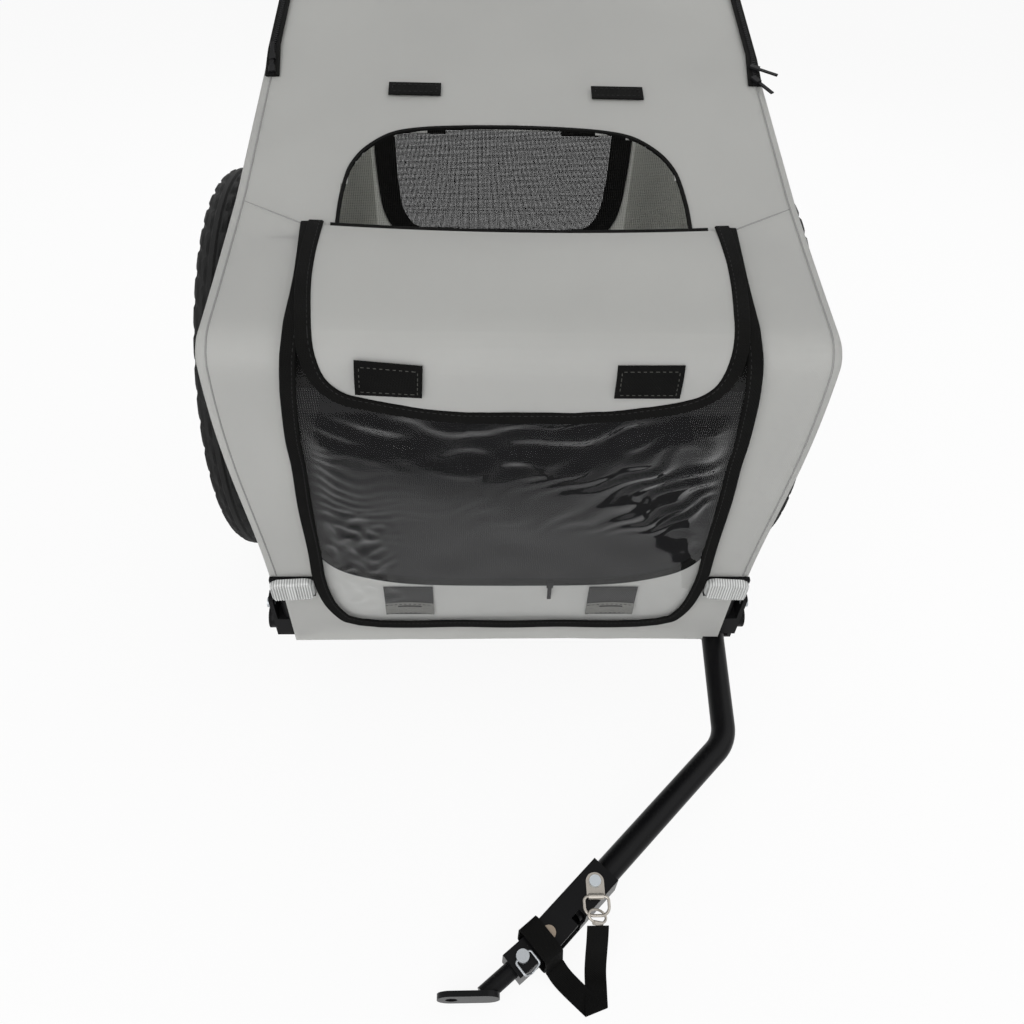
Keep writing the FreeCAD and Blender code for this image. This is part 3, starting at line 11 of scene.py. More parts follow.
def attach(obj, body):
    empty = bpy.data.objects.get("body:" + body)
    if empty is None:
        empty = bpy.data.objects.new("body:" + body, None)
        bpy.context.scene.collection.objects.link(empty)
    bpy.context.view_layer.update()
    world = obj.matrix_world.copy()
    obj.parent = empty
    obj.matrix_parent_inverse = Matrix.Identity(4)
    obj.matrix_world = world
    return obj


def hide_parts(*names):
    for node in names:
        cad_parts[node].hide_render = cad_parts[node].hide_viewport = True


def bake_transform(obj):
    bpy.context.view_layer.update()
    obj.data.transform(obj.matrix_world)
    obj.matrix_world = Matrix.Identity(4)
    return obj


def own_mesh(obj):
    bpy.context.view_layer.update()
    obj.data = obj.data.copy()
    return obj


# Dog bike trailer. Soft pieces are drawn level in millimetres, as the solids are: Y from the axle, rear
# positive, Z from the ground under level wheels. to_world() then tips them nose down with the frame.

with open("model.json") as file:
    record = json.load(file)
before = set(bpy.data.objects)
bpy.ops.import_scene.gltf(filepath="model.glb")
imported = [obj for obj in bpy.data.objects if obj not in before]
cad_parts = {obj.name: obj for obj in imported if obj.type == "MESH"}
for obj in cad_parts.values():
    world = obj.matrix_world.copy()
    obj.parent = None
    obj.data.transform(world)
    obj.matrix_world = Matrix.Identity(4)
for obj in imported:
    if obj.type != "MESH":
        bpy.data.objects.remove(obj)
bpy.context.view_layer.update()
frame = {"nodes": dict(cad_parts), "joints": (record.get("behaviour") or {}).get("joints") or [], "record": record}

MM = 0.001
TINY = 1e-9
SIDES = (-1, 1)
ACROSS = Vector((1, 0, 0))
UPRIGHT = Vector((0, 0, 1))
OUT = Vector((0, -1, 0))
JOINTS = {joint["name"]: joint for joint in frame["joints"]}

# Cabin outline, shared with the solids. Lengths along it count from LENGTH_ZERO_Z, up the front
AXLE_Z = 251.0
FRONT_Y = -431.0
REAR_Y = 240.0
HEM_Z = 223.0
LENGTH_ZERO_Z = 230.0
ELBOW_Z = 650.0
ROOF_REAR_Y = 205.0
ROOF_REAR_Z = 748.0
HALF_WIDTH = 250.0
ROOF_REAR_HALF_WIDTH = 235.0
CREASE_Y = -298.0
ELBOW_R = 30.0
ROOF_CORNER_R = 24.0
REAR_ELBOW_R = 40.0
ARC_STEPS = 24
LEAN_SHARE = (HALF_WIDTH - ROOF_REAR_HALF_WIDTH) / (ROOF_REAR_Z - ELBOW_Z)
ROOF_SLOPE_SHARE = (ROOF_REAR_Z - ELBOW_Z) / (ROOF_REAR_Y - FRONT_Y)

# Cloth cover
CLOTH_THICK = 1.4
EDGE_R = 13.0
EDGE_STRIP = 10.0
EDGE_STEPS = 5
FLAT_STEPS = 84
UPRIGHT_STEPS = 76
ROOF_STEPS = 116
WELD_GAP = 0.3
HEM_NARROW = 15.0
HEM_CORNER_RISE = 85.0
SIDE_CORNER_RUN = 60.0
NOTCH_HALF = 32.0
NOTCH_TOP = 274.0
DRAWBAR_NOTCH_X = 219.0
DRAWBAR_NOTCH_TOP = 228.0
SHARP_ANGLE = 40.0
COVER_SHARP_ANGLE = 60.0

# How the cloth stands out over the front posts, sags, and ripples (height, scale)
BULGE = 11.0
BULGE_Z = 560.0
BULGE_REACH = 240.0
BULGE_FADE = 170.0
SIDE_SAG = 5.0
FRONT_SAG = 1.5
RIPPLES = ((1.3, 0.011), (0.4, 0.033))

# Grey cords sunk along the side seams and out from the crease; their darker grey is painted shade of the seam
# lines
SEAM_R = 0.9
SEAM_SIDES = 6
SEAM_INSET = 11.0
SEAM_DEPTH = 0.4
CREASE_SEAM_DEPTH = 0.8
CREASE_SEAM_X = (184.0, 236.0)
CREASE_SEAM_RUN = 26.0
CREASE_SEAM_STEPS = 24

# Thread
STITCH_LENGTH = 3.4
STITCH_GAP = 1.6
STITCH_R = 0.38
STITCH_SIDES = 5
STITCH_LIFT = 0.15
THREAD_STEP = 0.8
THREAD_INSET = 10.0

# Right halves of the openings: (x, height) for both doors, (x, depth) for the skylight's arch
DOOR_POINTS = ((0, 334), (70, 335), (115, 339), (150, 349), (173, 362), (188, 384), (195, 416), (194, 520),
               (187, 612))
REAR_POINTS = ((0, 292), (105, 292), (134, 298), (150, 314), (161, 342), (165, 390), (166, 440), (164, 540),
               (159, 596), (150, 604), (0, 606))
ARCH_POINTS = ((150, -314), (150, -299), (149.5, -270), (146.5, -240), (142, -222), (131, -202), (110, -183),
               (82, -175), (40, -171.5), (0, -170.5))
ARCH_SHIFT = -4.7
OUTLINE_STEPS = 8
SAME_GAP = 0.01

# Section of a tape, as shares of its width and thickness
TAPE_SECTION_SHARES = ((-0.5, 0.0), (-0.42, 0.5), (0.42, 0.5), (0.5, 0.0), (0.42, -0.5), (-0.42, -0.5))

# Rain cover: half widths by length along the outline, and the waver (height, run) of its edge and binding
HINGE_Z = 566.0
RAIN_LIFT = 5.0
RAIN_SEAM_LIFT = 0.2
RAIN_TUCK = 16.0
RAIN_BOTTOM_Z = 258.5
RAIN_BOTTOM_HALF = 140.0
RAIN_HALVES = ((30.5, 157.0), (36.0, 171.0), (43.0, 181.0), (67.0, 193.0), (95.0, 199.5),
               (125.0, 202.5), (151.0, 202.0), (272.0, 198.0), (323.0, 199.0), (370.0, 195.5),
               (408.0, 189.0), (430.0, 185.5), (480.0, 183.5))
RAIN_CREASE_HALF = 186.0
RAIN_WAVER = (1.2, 31.0)
RAIN_ROWS = 120
RAIN_COLUMNS = 150
RAIN_EDGE_STEPS = (60, 90)
RAIN_TOP_STEPS = 60
RAIN_TOP_OVERLAP = 4.0
TAPE_WIDTH = 13.0
TAPE_THICK = 2.4
TAPE_LIFT = 0.4
TAPE_WAVER = (0.5, 17.0)
CREASE_RUN = 55.0

# Folds of the film: a swag hung between the flap's corners, crumpled above it, gathers (side, height, run,
# slant, reach) at both edges and crumples (side, height, reach, run) low at both sides
SWAG_MIDDLE_X = -20.0
SWAG_HIGH_Z = 580.0
SWAG_DROP = 72.0
SWAG_POWER = 1.8
SWAG_RISE = 8.0
SWAG_ABOVE = 24.0
SWAG_BELOW = 95.0
CRUMPLE_RISE = 6.0
CRUMPLE_RUNS = (38.0, 17.0)
CRUMPLE_START = 14.0
FOLDS_END_Z = 584.0
FOLDS_FADE = 16.0
GATHERS = ((-1, 1.9, 12.5, 0.1, 24.0), (1, 3.2, 27.0, 0.72, 60.0))
GATHER_SPAN = (190.0, 338.0)
GATHER_FADE = 40.0
LOW_CRUMPLES = ((-1, 3.6, 95.0, 17.0), (1, 3.0, 40.0, 19.0))
LOW_SPAN = (62.0, 250.0)
LOW_FADE = 40.0
EDGE_HOLD = 26.0
SMALL_RISE = 0.5
SMALL_RUN = 40.0
LEAST_LIFT = 2.6

# Skylight flap: half widths by length along the outline, and its sags (height, scales, seed)
FLAP_LIFT = 9.0
FLAP_SEAM_LIFT = 2.6
FLAP_SLIP = 4.0
FLAP_DIP = 6.5
FLAP_THICK = 1.5
FLAP_TAPE_LIFT = 0.1
FLAP_TIP_Z = 577.0
FLAP_TIP_HALF = 45.0
FLAP_HALVES = ((350.0, 75.0), (354.0, 98.0), (358.5, 119.0), (367.0, 146.0), (382.0, 163.0), (406.0, 173.5),
               (430.0, 177.5), (480.0, 181.0))
FLAP_CREASE_HALF = 178.0
FLAP_SAGS = ((1.6, (0.011, 0.013), 1.3), (0.6, (0.04, 0.04), 0.0))
FLAP_COLUMNS = 72
FLAP_ROWS = 40
FLAP_TIP_ROWS = 44
FLAP_EDGE_STEPS = (30, 70)
FLAP_OVERLAP = 5.0
SKY_HEM_SHOWN = 6.0
SKY_HEM_WIDTH = 21.0
SKY_HEM_HALF = 160.0
SKY_HEM_LIFT = 0.6
SKY_HEM_ROWS = 6

# Stitched patches on the flap's tip (x, turn) and strips on the roof
PATCH_SIZE = (53.0, 27.5)
PATCH_SPOTS = ((-106.0, -3.4), (100.0, 0.5))
PATCH_Z = 623.0
PATCH_LIFT = 1.2
PATCH_THICK = 1.4
PATCH_EDGE = 3.7
PATCH_STEPS = 8
STRIP_X = 95.5
STRIP_SIZE = (49.0, 17.5)
STRIP_Y = -121.0
STRIP_LIFT = 0.6

# Doors and skylight
NET_INSET = 0.9
NET_STEPS = 14
NET_WELD_GAP = 0.05
DOOR_TAPE = 11.0
DOOR_TAPE_THICK = 2.0
REAR_TAPE = 30.0
REAR_TAPE_THICK = 5.0
ARCH_TAPE = 3.4
ARCH_TAPE_THICK = 2.6
HEADER_Z = 627.0
HEADER_SIZE = (374.0, 36.0)
HEADER_LIFT = 0.3
HEADER_THICK = 0.8
REAR_PATCH_X = 106.0
REAR_PATCH_LOW_Z = 458.0
REAR_PATCH_LIFT = 3.0

# Zip pulls, and zips on the roof edges: pulls by depth with the way (aside, along) that they point
SLIDER_ABOVE = 4.0
SLIDER_BELOW = 5.0
SLIDER_WIDTH = 7.0
SLIDER_THICK = 3.0
PULL_START = 3.0
PULL_LENGTH = 24.0
PULL_WIDTH = 4.2
PULL_THICK = 1.3
DOOR_PULL_SPOT = (40.0, 334.0)
DOOR_PULL_LIFT = 1.2
DOOR_PULL_WAY = Vector((0, -0.08, -1))
ZIP_FRONT_Y = -106.0
ZIP_REAR_Y = 172.0
ZIP_STEPS = 60
ZIP_TAPE = 14.0
ZIP_THICK = 1.6
ZIP_INSETS = (12.5, 8.5)
ZIP_TURN_Y = -60.0
ZIP_LIFT = 1.2
TOOTH_LIFT = 1.1
TOOTH_PITCH = 3.2
TOOTH_SHARE = 0.55
TOOTH_WIDTH = 4.6
ROOF_PULL_LIFT = 2.4
ROOF_PULLS = ((-81.0, (0.88, -0.47)), (-100.0, (0.56, -0.83)))
TUCKED_WAY = (0.12, 0.99)

# Loop handles on the front
LOOP_X = 107.0
LOOP_LOW_Z = 278.0
LOOP_HIGH_Z = 328.0
LOOP_WIDTH = 51.0
LOOP_BAND = 21.0
LOOP_BAND_THICK = 1.4
LOOP_ARCH = 5.0
LOOP_BULGE = 1.6
LOOP_LIFT = 1.9
LOOP_STEPS = 60
LOOP_PATCH_LIFT = 0.3
LOOP_PATCH_THICK = 1.0
LOOP_THREAD_INSET = 2.2
LOOP_THREAD_LIFT = 0.8
# Black strip under each loop's arch: painted shade of the gap beneath the band
LOOP_PAINTED_SHADE = 2.6
LOOP_PAINTED_SHADE_LIFT = 0.6
LOOP_PAINTED_SHADE_THICK = 0.6
LOOP_PAINTED_SHADE_DROP = 6.0
LOOP_PAINTED_SHADE_SPAN = (16, 46)

# Reflector lenses
REFLECTOR_X = 224.0
REFLECTOR_Z = 333.0
LENS_WIDTH = 46.0
LENS_HEIGHT = 30.0
LENS_FRONT = 12.0
LENS_BACK = 4.6
LENS_ROUND = 9.0
LENS_STEPS = (190, 24)
LENS_RIM_SLOPES = (9, 5)
LENS_SHARP_ANGLE = 70.0
RIB_PITCH = 2.7
RIB_DEPTH = 0.5
PLAIN_HALF = 5.0
LENS_TILT_SHARE = 0.09

# Tyres: tread angles are measured round the section from its crown
TRACK_HALF = 336.0
WHEEL_R = 251.0
TYRE_R = 22.0
TYRE_STEPS = 264
SECTION_STEPS = 44
SEAT_ANGLE = 136.0
TREAD_DEPTH = 2.2
TREAD_ANGLE = 62.0
SHOULDER_SHARE = 0.8
CROWN_ANGLE = 9.0
GROOVE_ANGLES = ((9.0, 15.0), (36.0, 41.0))
BLOCK_ANGLE = 12.0
BLOCK_RUN = 6
BLOCK_GAP = 2
TYRE_SHARP_ANGLE = 30.0

# Safety strap: places on the ground are (x, y, rise)
STRAP_WIDTH = 20.0
STRAP_THICK = 1.6
STRAP_START = Vector((76.1, -739.6, 228.2))
STRAP_BEND = Vector((-0.4, -9.0, -9.0))
STRAP_DOWN = ((74.4, -768.0, 4.5), (73.2, -786.0, 2.6))
STRAP_FOLD = (72.0, -806.0)
STRAP_FOLD_RISES = (2.4, 1.0)
STRAP_BACK = ((60.0, -794.0, 1.4), (44.0, -777.5, 4.0))
STRAP_LIP = Vector((34.1, -765.1, 214.0))
STRAP_LIP_GAP = 3.0
STRAP_LIP_DROP = 10.0
STRAP_STEPS = 8
STRAP_FOLD_POWER = 12
STRAP_FOLD_ROWS = 3
STRAP_COLUMN_SHARES = (-0.5, -0.25, 0.0, 0.25, 0.5)
STRAP_SHARP_ANGLE = 50.0
SOCKET_RUN = Vector((-0.7826, -0.6225, 0))
SOCKET_ASIDE = Vector((0.6225, -0.7826, 0))
SOCKET_HALF = 17.9
SOCKET_LOOP_HALF = 18.6
SOCKET_LOOP_TOP = 18.6
SOCKET_LOOP_UNDER = 17.2
SOCKET_LOOP_R = 5.0
SOCKET_LOOP_STEPS = 6
STRAP_END_GAP = 0.6
STRAP_END_RISE = 2.0

# Floor lining and corner linings
LINING_Z = 267.6
LINING_HALF = 242.0
LINING_END_GAP = 4.0
LINING_POST_X = 214.0
LINING_POST_RUN = 46.0
LINING_AXLE_HALF = 30.0
LINING_STEPS = (60, 84)
LINING_RIPPLE_SHARE = 0.25
CORNER_INSET = 4.0
CORNER_ACROSS = 61.0
CORNER_AHEAD = 150.0
CORNER_POWER = 2.0
CORNER_LOW_Z = 285.0
CORNER_HIGH_Z = 640.0
CORNER_STEPS = (8, 40)

# Woven finishes: kind, dark and light tone. A kind has its blotches (scale, detail), threads (scale,
# strength, height in metres) and gloss
WEAVES = {
    "cloth": ((9.0, 4.0), (330.0, 0.22, 0.0006),
              {"Roughness": 0.86, "Sheen Weight": 0.18, "Specular IOR Level": 0.25}),
    "sheet": ((9.0, 4.0), (330.0, 0.22, 0.0006), {"Roughness": 0.7}),
    "tape": ((40.0, 3.0), (260.0, 0.5, 0.0008), {"Roughness": 0.8, "Specular IOR Level": 0.05}),
}
WOVEN = {
    "grey_cloth": ("cloth", (0.472, 0.472, 0.463), (0.546, 0.546, 0.535)),
    # The corner lining's near-white is painted light: it brightens the shaded rear corners
    "lining_cloth": ("cloth", (0.86, 0.86, 0.83), (0.92, 0.92, 0.89)),
    # The floor sheet's near-black is painted shade inside the closed cabin
    "floor_sheet": ("sheet", (0.016, 0.016, 0.017), (0.026, 0.026, 0.027)),
    # The seam grey is painted shade along the cover's seam lines
    "seam": ("sheet", (0.22, 0.22, 0.215), (0.28, 0.28, 0.275)),
    "black_webbing": ("tape", (0.004, 0.004, 0.004), (0.008, 0.008, 0.0075)),
    "grey_webbing": ("tape", (0.13, 0.13, 0.12), (0.19, 0.19, 0.176)),
    "stitch": ("tape", (0.06, 0.06, 0.055), (0.1, 0.1, 0.092)),
    "dark_stitch": ("tape", (0.02, 0.02, 0.02), (0.04, 0.04, 0.04)),
}
CLOTH_THROUGH_SHARE = 0.37
CLOTH_THROUGH_TINT = (0.95, 0.955, 0.92, 1)

# Nets: colour, open share and the second way that threads run
NETS = {
    "black_mesh": ((0.006, 0.006, 0.0065), 0.05, "Z"),
    "rear_mesh": ((0.008, 0.008, 0.009), 0.255, "Z"),
    "fine_mesh": ((0.014, 0.014, 0.0135), 0.985, "Y"),
}
NET_SCALE = 170.0
NET_GLOSS = {"Roughness": 0.8, "Specular IOR Level": 0.1}

# Rubber, plastic and paint: colour, roughness, grain scale and strength, shine
GRAINS = {
    "tyre_rubber": ((0.011, 0.011, 0.011), 0.78, 900.0, 0.35, 0.25),
    "black_plastic": ((0.008, 0.008, 0.0085), 0.48, 1400.0, 0.25, 0.05),
    "black_tube": ((0.005, 0.005, 0.0055), 0.3, 1100.0, 0.1, 0.1),
}
GRAIN_DETAIL = 2.0
GRAIN_SPREAD = (-0.08, 0.08)
GRAIN_HEIGHT = 0.0004

# Metals: colour, roughness and scale of the brushing. The rivet is bronze, the tab's screw bright zinc
METALS = {
    "rim_alloy": ((0.5, 0.5, 0.51), 0.28, 60.0),
    "spoke_steel": ((0.46, 0.46, 0.47), 0.2, 200.0),
    "zinc_steel": ((0.42, 0.44, 0.46), 0.3, 300.0),
    "nickel": ((0.4, 0.37, 0.33), 0.22, 300.0),
}
RIVET_BRONZE = (0.27, 0.22, 0.17)
RIVET_ROUGH = 0.36
RIVET_BRUSH_SCALE = 300.0
METAL_SHARE = 0.55
BRUSH_DETAIL = 3.0
BRUSH_SPREAD = (-0.07, 0.1)
BRUSH_BUMP = (0.08, 0.0003)
SCREW_ZINC = (0.5, 0.54, 0.57)
SCREW_FROM_X = 54.0

# Clear film and reflector lens
FILM_GLOSS_SHARES = (0.002, 0.68)
FILM_GLOSS_POWER = 3.2
FILM_TINT = (0.985, 0.988, 0.99, 1)
FILM_ROUGH = 0.05
FILM_CREASES = (26.0, 2.0)
FILM_BUMP = (0.1, 0.002)
LENS_COLOUR = (0.6, 0.61, 0.6)
# The ribs' dark and light tones are painted shade and highlight
LENS_RIB_PAINTED_SHADE_HIGHLIGHT = ((0.24, 0.245, 0.24), (0.6, 0.61, 0.6))
LENS_GLOSS = {"Roughness": 0.2, "Coat Weight": 0.6}
LENS_RIB_SCALE = 116.0
LENS_HAZE = (90.0, 3.0)
LENS_ROUGH = (0.12, 0.28)

# Floor and light, in metres: lamps are (name, place, watts, size)
WHITE = (1, 1, 1, 1)
FLOOR_SIZE = 14.0
FLOOR_COLOUR = (0.92, 0.92, 0.92)
FLOOR_ROUGH = 0.9
FLOOR_WHITE_SHARE = 0.92
WORLD_STRENGTH = 0.34
LAMPS = (("key", (-1.0, -3.0, 1.6), 84.0, 3.6), ("fill", (2.0, -0.6, 2.0), 18.0, 2.6),
         ("back", (0.2, 2.2, 2.4), 26.0, 2.2))

# Camera, fitted to the photograph in the level frame
FOCAL_SHARE = 935.0 / 1024.0
SENSOR_MM = 36.0
CAMERA_AT = (-37.5, -986.0, 1130.0)
CAMERA_PITCH = 50.7
CAMERA_YAW = 3.54
CAMERA_ROLL = -2.91


def frame_tip():
    """Matrix from the level drawing, in metres, to the tipped frame."""
    axle = Vector(JOINTS["left_wheel_spin"]["pos_m"])
    up = JOINTS["drawbar_swing"]["axis"]
    turn = Matrix.Rotation(math.atan2(-up[1], up[2]), 4, "X")
    level_axle = Vector((0, 0, AXLE_Z * MM))
    return Matrix.Translation((0, axle.y, axle.z)) @ turn @ Matrix.Translation(-level_axle)


TIP = frame_tip()
UP = (TIP.to_3x3() @ UPRIGHT).normalized()


def to_world(point):
    return TIP @ (Vector(point) * MM)


# Materials

def set_inputs(tree, node, inputs):
    """Link each input of a node to a socket, or set it to a value."""
    for key, value in inputs.items():
        if isinstance(value, bpy.types.NodeSocket):
            tree.links.new(value, node.inputs[key])
        else:
            node.inputs[key].default_value = value


def add_node(tree, kind, inputs, **settings):
    node = tree.nodes.new("ShaderNode" + kind)
    for name, value in settings.items():
        setattr(node, name, value)
    set_inputs(tree, node, inputs)
    return node


def new_material(name, base, gloss):
    """Principled material with its node tree, ready for detail."""
    material = bpy.data.materials.new(name)
    material.use_nodes = True
    tree = material.node_tree
    shader = tree.nodes["Principled BSDF"]
    set_inputs(tree, shader, {"Base Color": (*base, 1), **gloss})
    return material, tree, shader


def coordinates(tree):
    return add_node(tree, "TexCoord", {}).outputs["Object"]


def noise_of(tree, scale, detail):
    inputs = {"Scale": scale, "Detail": detail, "Vector": coordinates(tree)}
    return add_node(tree, "TexNoise", inputs).outputs["Fac"]


def wave_of(tree, direction, scale):
    inputs = {"Scale": scale, "Vector": coordinates(tree)}
    return add_node(tree, "TexWave", inputs, bands_direction=direction).outputs["Fac"]


def combined(tree, operation, first, second):
    return add_node(tree, "Math", {0: first, 1: second}, operation=operation).outputs["Value"]


def mapped(tree, value, low, high):
    """A 0 to 1 value spread over another range."""
    return add_node(tree, "MapRange", {"Value": value, "To Min": low, "To Max": high}).outputs["Result"]


def bumped(tree, height, strength, distance):
    inputs = {"Height": height, "Strength": strength, "Distance": distance}
    return add_node(tree, "Bump", inputs).outputs["Normal"]


def toned(tree, value, dark, light):
    """Colour that varies between two tones with a value."""
    ramp = add_node(tree, "ValToRGB", {"Fac": value})
    for element, colour in zip(ramp.color_ramp.elements, (dark, light)):
        element.color = (*colour, 1)
    return ramp.outputs["Color"]


def mix_surface(tree, output, share, first, second):
    mix = add_node(tree, "MixShader", {"Fac": share, 1: first, 2: second})
    set_inputs(tree, output, {"Surface": mix.outputs["Shader"]})


def woven_material(name, kind, dark, light):
    """Crossed threads over soft blotches. Coated cloth also lets a little light through."""
    blotches, (scale, strength, height), gloss = WEAVES[kind]
    material, tree, shader = new_material(name, light, gloss)
    threads = combined(tree, "ADD", wave_of(tree, "X", scale), wave_of(tree, "DIAGONAL", scale))
    set_inputs(tree, shader, {"Base Color": toned(tree, noise_of(tree, *blotches), dark, light),
                              "Normal": bumped(tree, threads, strength, height)})
    if kind == "cloth":
        through = add_node(tree, "BsdfTranslucent", {"Color": CLOTH_THROUGH_TINT})
        mix_surface(tree, tree.nodes["Material Output"], CLOTH_THROUGH_SHARE, shader.outputs["BSDF"],
                    through.outputs["BSDF"])
    return material


def net_material(name, colour, open_share, along):
    """Net with real gaps: threads where either wave peaks, see-through between."""
    material, tree, shader = new_material(name, colour, NET_GLOSS)
    threads = combined(tree, "MAXIMUM", wave_of(tree, "X", NET_SCALE), wave_of(tree, along, NET_SCALE))
    set_inputs(tree, shader, {"Alpha": combined(tree, "GREATER_THAN", threads, open_share)})
    return material


def rough_detail(tree, shader, pattern, rough, span, strength, height):
    """A pattern that shows in the roughness and as fine relief."""
    low, high = span
    set_inputs(tree, shader, {"Roughness": mapped(tree, pattern, rough + low, rough + high),
                              "Normal": bumped(tree, pattern, strength, height)})


def grained_material(name, colour, rough, scale, strength, shine):
    material, tree, shader = new_material(name, colour, {"Roughness": rough, "Specular IOR Level": shine})
    grain = noise_of(tree, scale, GRAIN_DETAIL)
    rough_detail(tree, shader, grain, rough, GRAIN_SPREAD, strength, GRAIN_HEIGHT)
    return material


def metal_material(name, colour, rough, scale):
    """Dulled metal: part of it scatters light, as plated steel does."""
    material, tree, shader = new_material(name, colour, {"Roughness": rough, "Metallic": METAL_SHARE})
    rough_detail(tree, shader, noise_of(tree, scale, BRUSH_DETAIL), rough, BRUSH_SPREAD, *BRUSH_BUMP)
    return material


def fastener_material(name):
    """Bronze for the hitch rivet and, further along the sleeve, bright zinc for the tab's screw."""
    material = metal_material(name, RIVET_BRONZE, RIVET_ROUGH, RIVET_BRUSH_SCALE)
    tree = material.node_tree
    place = add_node(tree, "SeparateXYZ", {"Vector": coordinates(tree)})
    beyond = combined(tree, "GREATER_THAN", place.outputs["X"], SCREW_FROM_X * MM)
    tones = toned(tree, beyond, RIVET_BRONZE, SCREW_ZINC)
    set_inputs(tree, tree.nodes["Principled BSDF"], {"Base Color": tones})
    return material


def film_material(name):
    """Thin clear film: mostly see-through, glossier at a slant from either face."""
    material, tree, _ = new_material(name, FILM_TINT[:-1], {})
    tree.nodes.clear()
    normal = bumped(tree, noise_of(tree, *FILM_CREASES), *FILM_BUMP)
    slant = add_node(tree, "LayerWeight", {"Normal": normal}).outputs["Facing"]
    share = mapped(tree, combined(tree, "POWER", slant, FILM_GLOSS_POWER), *FILM_GLOSS_SHARES)
    clear = add_node(tree, "BsdfTransparent", {"Color": FILM_TINT})
    gloss = add_node(tree, "BsdfGlossy", {"Color": WHITE, "Roughness": FILM_ROUGH, "Normal": normal})
    output = add_node(tree, "OutputMaterial", {})
    mix_surface(tree, output, share, clear.outputs["BSDF"], gloss.outputs["BSDF"])
    return material


def lens_material(name):
    material, tree, shader = new_material(name, LENS_COLOUR, LENS_GLOSS)
    # Dark and light stripes along the ribs: painted shade and highlight, in step with the moulded ribs
    ribs = wave_of(tree, "X", LENS_RIB_SCALE)
    set_inputs(tree, shader, {"Base Color": toned(tree, ribs, *LENS_RIB_PAINTED_SHADE_HIGHLIGHT),
                              "Roughness": mapped(tree, noise_of(tree, *LENS_HAZE), *LENS_ROUGH)})
    return material


def all_materials():
    made = {}
    for make, table in ((woven_material, WOVEN), (net_material, NETS), (grained_material, GRAINS),
                        (metal_material, METALS)):
        made.update({name: make(name, *values) for name, values in table.items()})
    for make, name in ((fastener_material, "bronze"), (film_material, "clear_film"),
                       (lens_material, "clear_lens")):
        made[name] = make(name)
    return made


MATERIALS = all_materials()


def paint_frame():
    """Give every solid of the frame the detailed material of its record slot."""
    for entry in frame["record"]["subparts"]:
        node = frame["nodes"][entry["node"]]
        node.data.materials.clear()
        node.data.materials.append(MATERIALS[entry["material_slot"]])


# Small helpers

def clamped(value):
    return min(max(value, 0.0), 1.0)


def eased(share):
    return share * share * (3 - 2 * share)


def spread(start, end, count):
    return [start + (end - start) * k / count for k in range(count + 1)]


def run_at(points, index):
    """Way along a line of points at one of them."""
    return points[min(index + 1, len(points) - 1)] - points[max(index - 1, 0)]


def smooth_curve(points, steps):
    """Catmull-Rom through the points, with that many steps in each run."""
    ends = [2 * points[0] - points[1]] + points + [2 * points[-1] - points[-2]]
    curve = []
    for index in range(1, len(ends) - 2):
        a, b, c, d = ends[index - 1:index + 3]
        for step in range(steps):
            t = step / steps
            curve.append(0.5 * (2 * b + (c - a) * t + (2 * a - 5 * b + 4 * c - d) * t ** 2
                                + (3 * b - a - 3 * c + d) * t ** 3))
    return curve + [points[-1]]


def arc_points(before, corner, after, radius, steps):
    """Arc of a radius that rounds a corner."""
    back = (before - corner).normalized()
    ahead = (after - corner).normalized()
    half = back.angle(ahead) / 2
    run = radius / math.tan(half)
    centre = corner + (back + ahead).normalized() * (radius / math.sin(half))
    first, last = corner + back * run - centre, corner + ahead * run - centre
    turn = first.angle(last)
    return [centre + first * (math.sin(turn * (1 - share)) / math.sin(turn))
            + last * (math.sin(turn * share) / math.sin(turn)) for share in spread(0, 1, steps)]


def resampled(points, count):
    """Points evenly spaced along a polyline."""
    lengths = [0.0]
    for a, b in zip(points, points[1:]):
        lengths.append(lengths[-1] + (b - a).length)
    evenly, place = [], 0
    for target in spread(0, lengths[-1], count):
        while place < len(points) - 2 and lengths[place + 1] < target:
            place += 1
        share = (target - lengths[place]) / max(lengths[place + 1] - lengths[place], TINY)
        evenly.append(points[place].lerp(points[place + 1], clamped(share)))
    return evenly


# Mesh helpers

@contextmanager
def editing(mesh):
    work = bmesh.new()
    work.from_mesh(mesh)
    yield work
    work.to_mesh(mesh)
    work.free()


def mesh_from(points, faces):
    mesh = bpy.data.meshes.new("sheet")
    mesh.from_pydata([point * MM for point in points], [], faces)
    mesh.validate()
    return mesh


def grid_faces(rows, columns, ring=False, loop=False):
    """Quads of a grid of points. ring closes each row on itself, loop the last row on the first."""
    faces = []
    for row in range(rows if loop else rows - 1):
        here, there = row * columns, (row + 1) % rows * columns
        for c in range(columns if ring else columns - 1):
            n = (c + 1) % columns
            faces.append((here + c, here + n, there + n, there + c))
    return faces


def thickened(mesh, thick):
    """Give a sheet its thickness, as a closed shell."""
    with editing(mesh) as work:
        bmesh.ops.recalc_face_normals(work, faces=work.faces)
        bmesh.ops.solidify(work, geom=work.faces, thickness=thick * MM)
    return mesh


def welded(mesh, gap):
    with editing(mesh) as work:
        bmesh.ops.remove_doubles(work, verts=work.verts, dist=gap * MM)
    return mesh


def cut(mesh, is_gone):
    """Take out the faces whose middle is_gone says is gone."""
    with editing(mesh) as work:
        gone = [face for face in work.faces if is_gone(face.calc_center_median() / MM)]
        bmesh.ops.delete(work, geom=gone, context="FACES")
    return mesh


def lofted(rings):
    """Closed skin over rings of points."""
    count = len(rings[0])
    last = (len(rings) - 1) * count
    faces = grid_faces(len(rings), count, ring=True)
    faces += [tuple(reversed(range(count))), tuple(range(last, last + count))]
    return mesh_from([point for ring in rings for point in ring], faces)


def ribbon(centres, across, width, thick):
    """Flat band along centres, its width along the matching across vectors, with rounded edges."""
    rings = []
    for index, centre in enumerate(centres):
        side = across[index].normalized()
        normal = side.cross(run_at(centres, index)).normalized()
        rings.append([centre + side * (u * width) + normal * (h * thick) for u, h in TAPE_SECTION_SHARES])
    return lofted(rings)


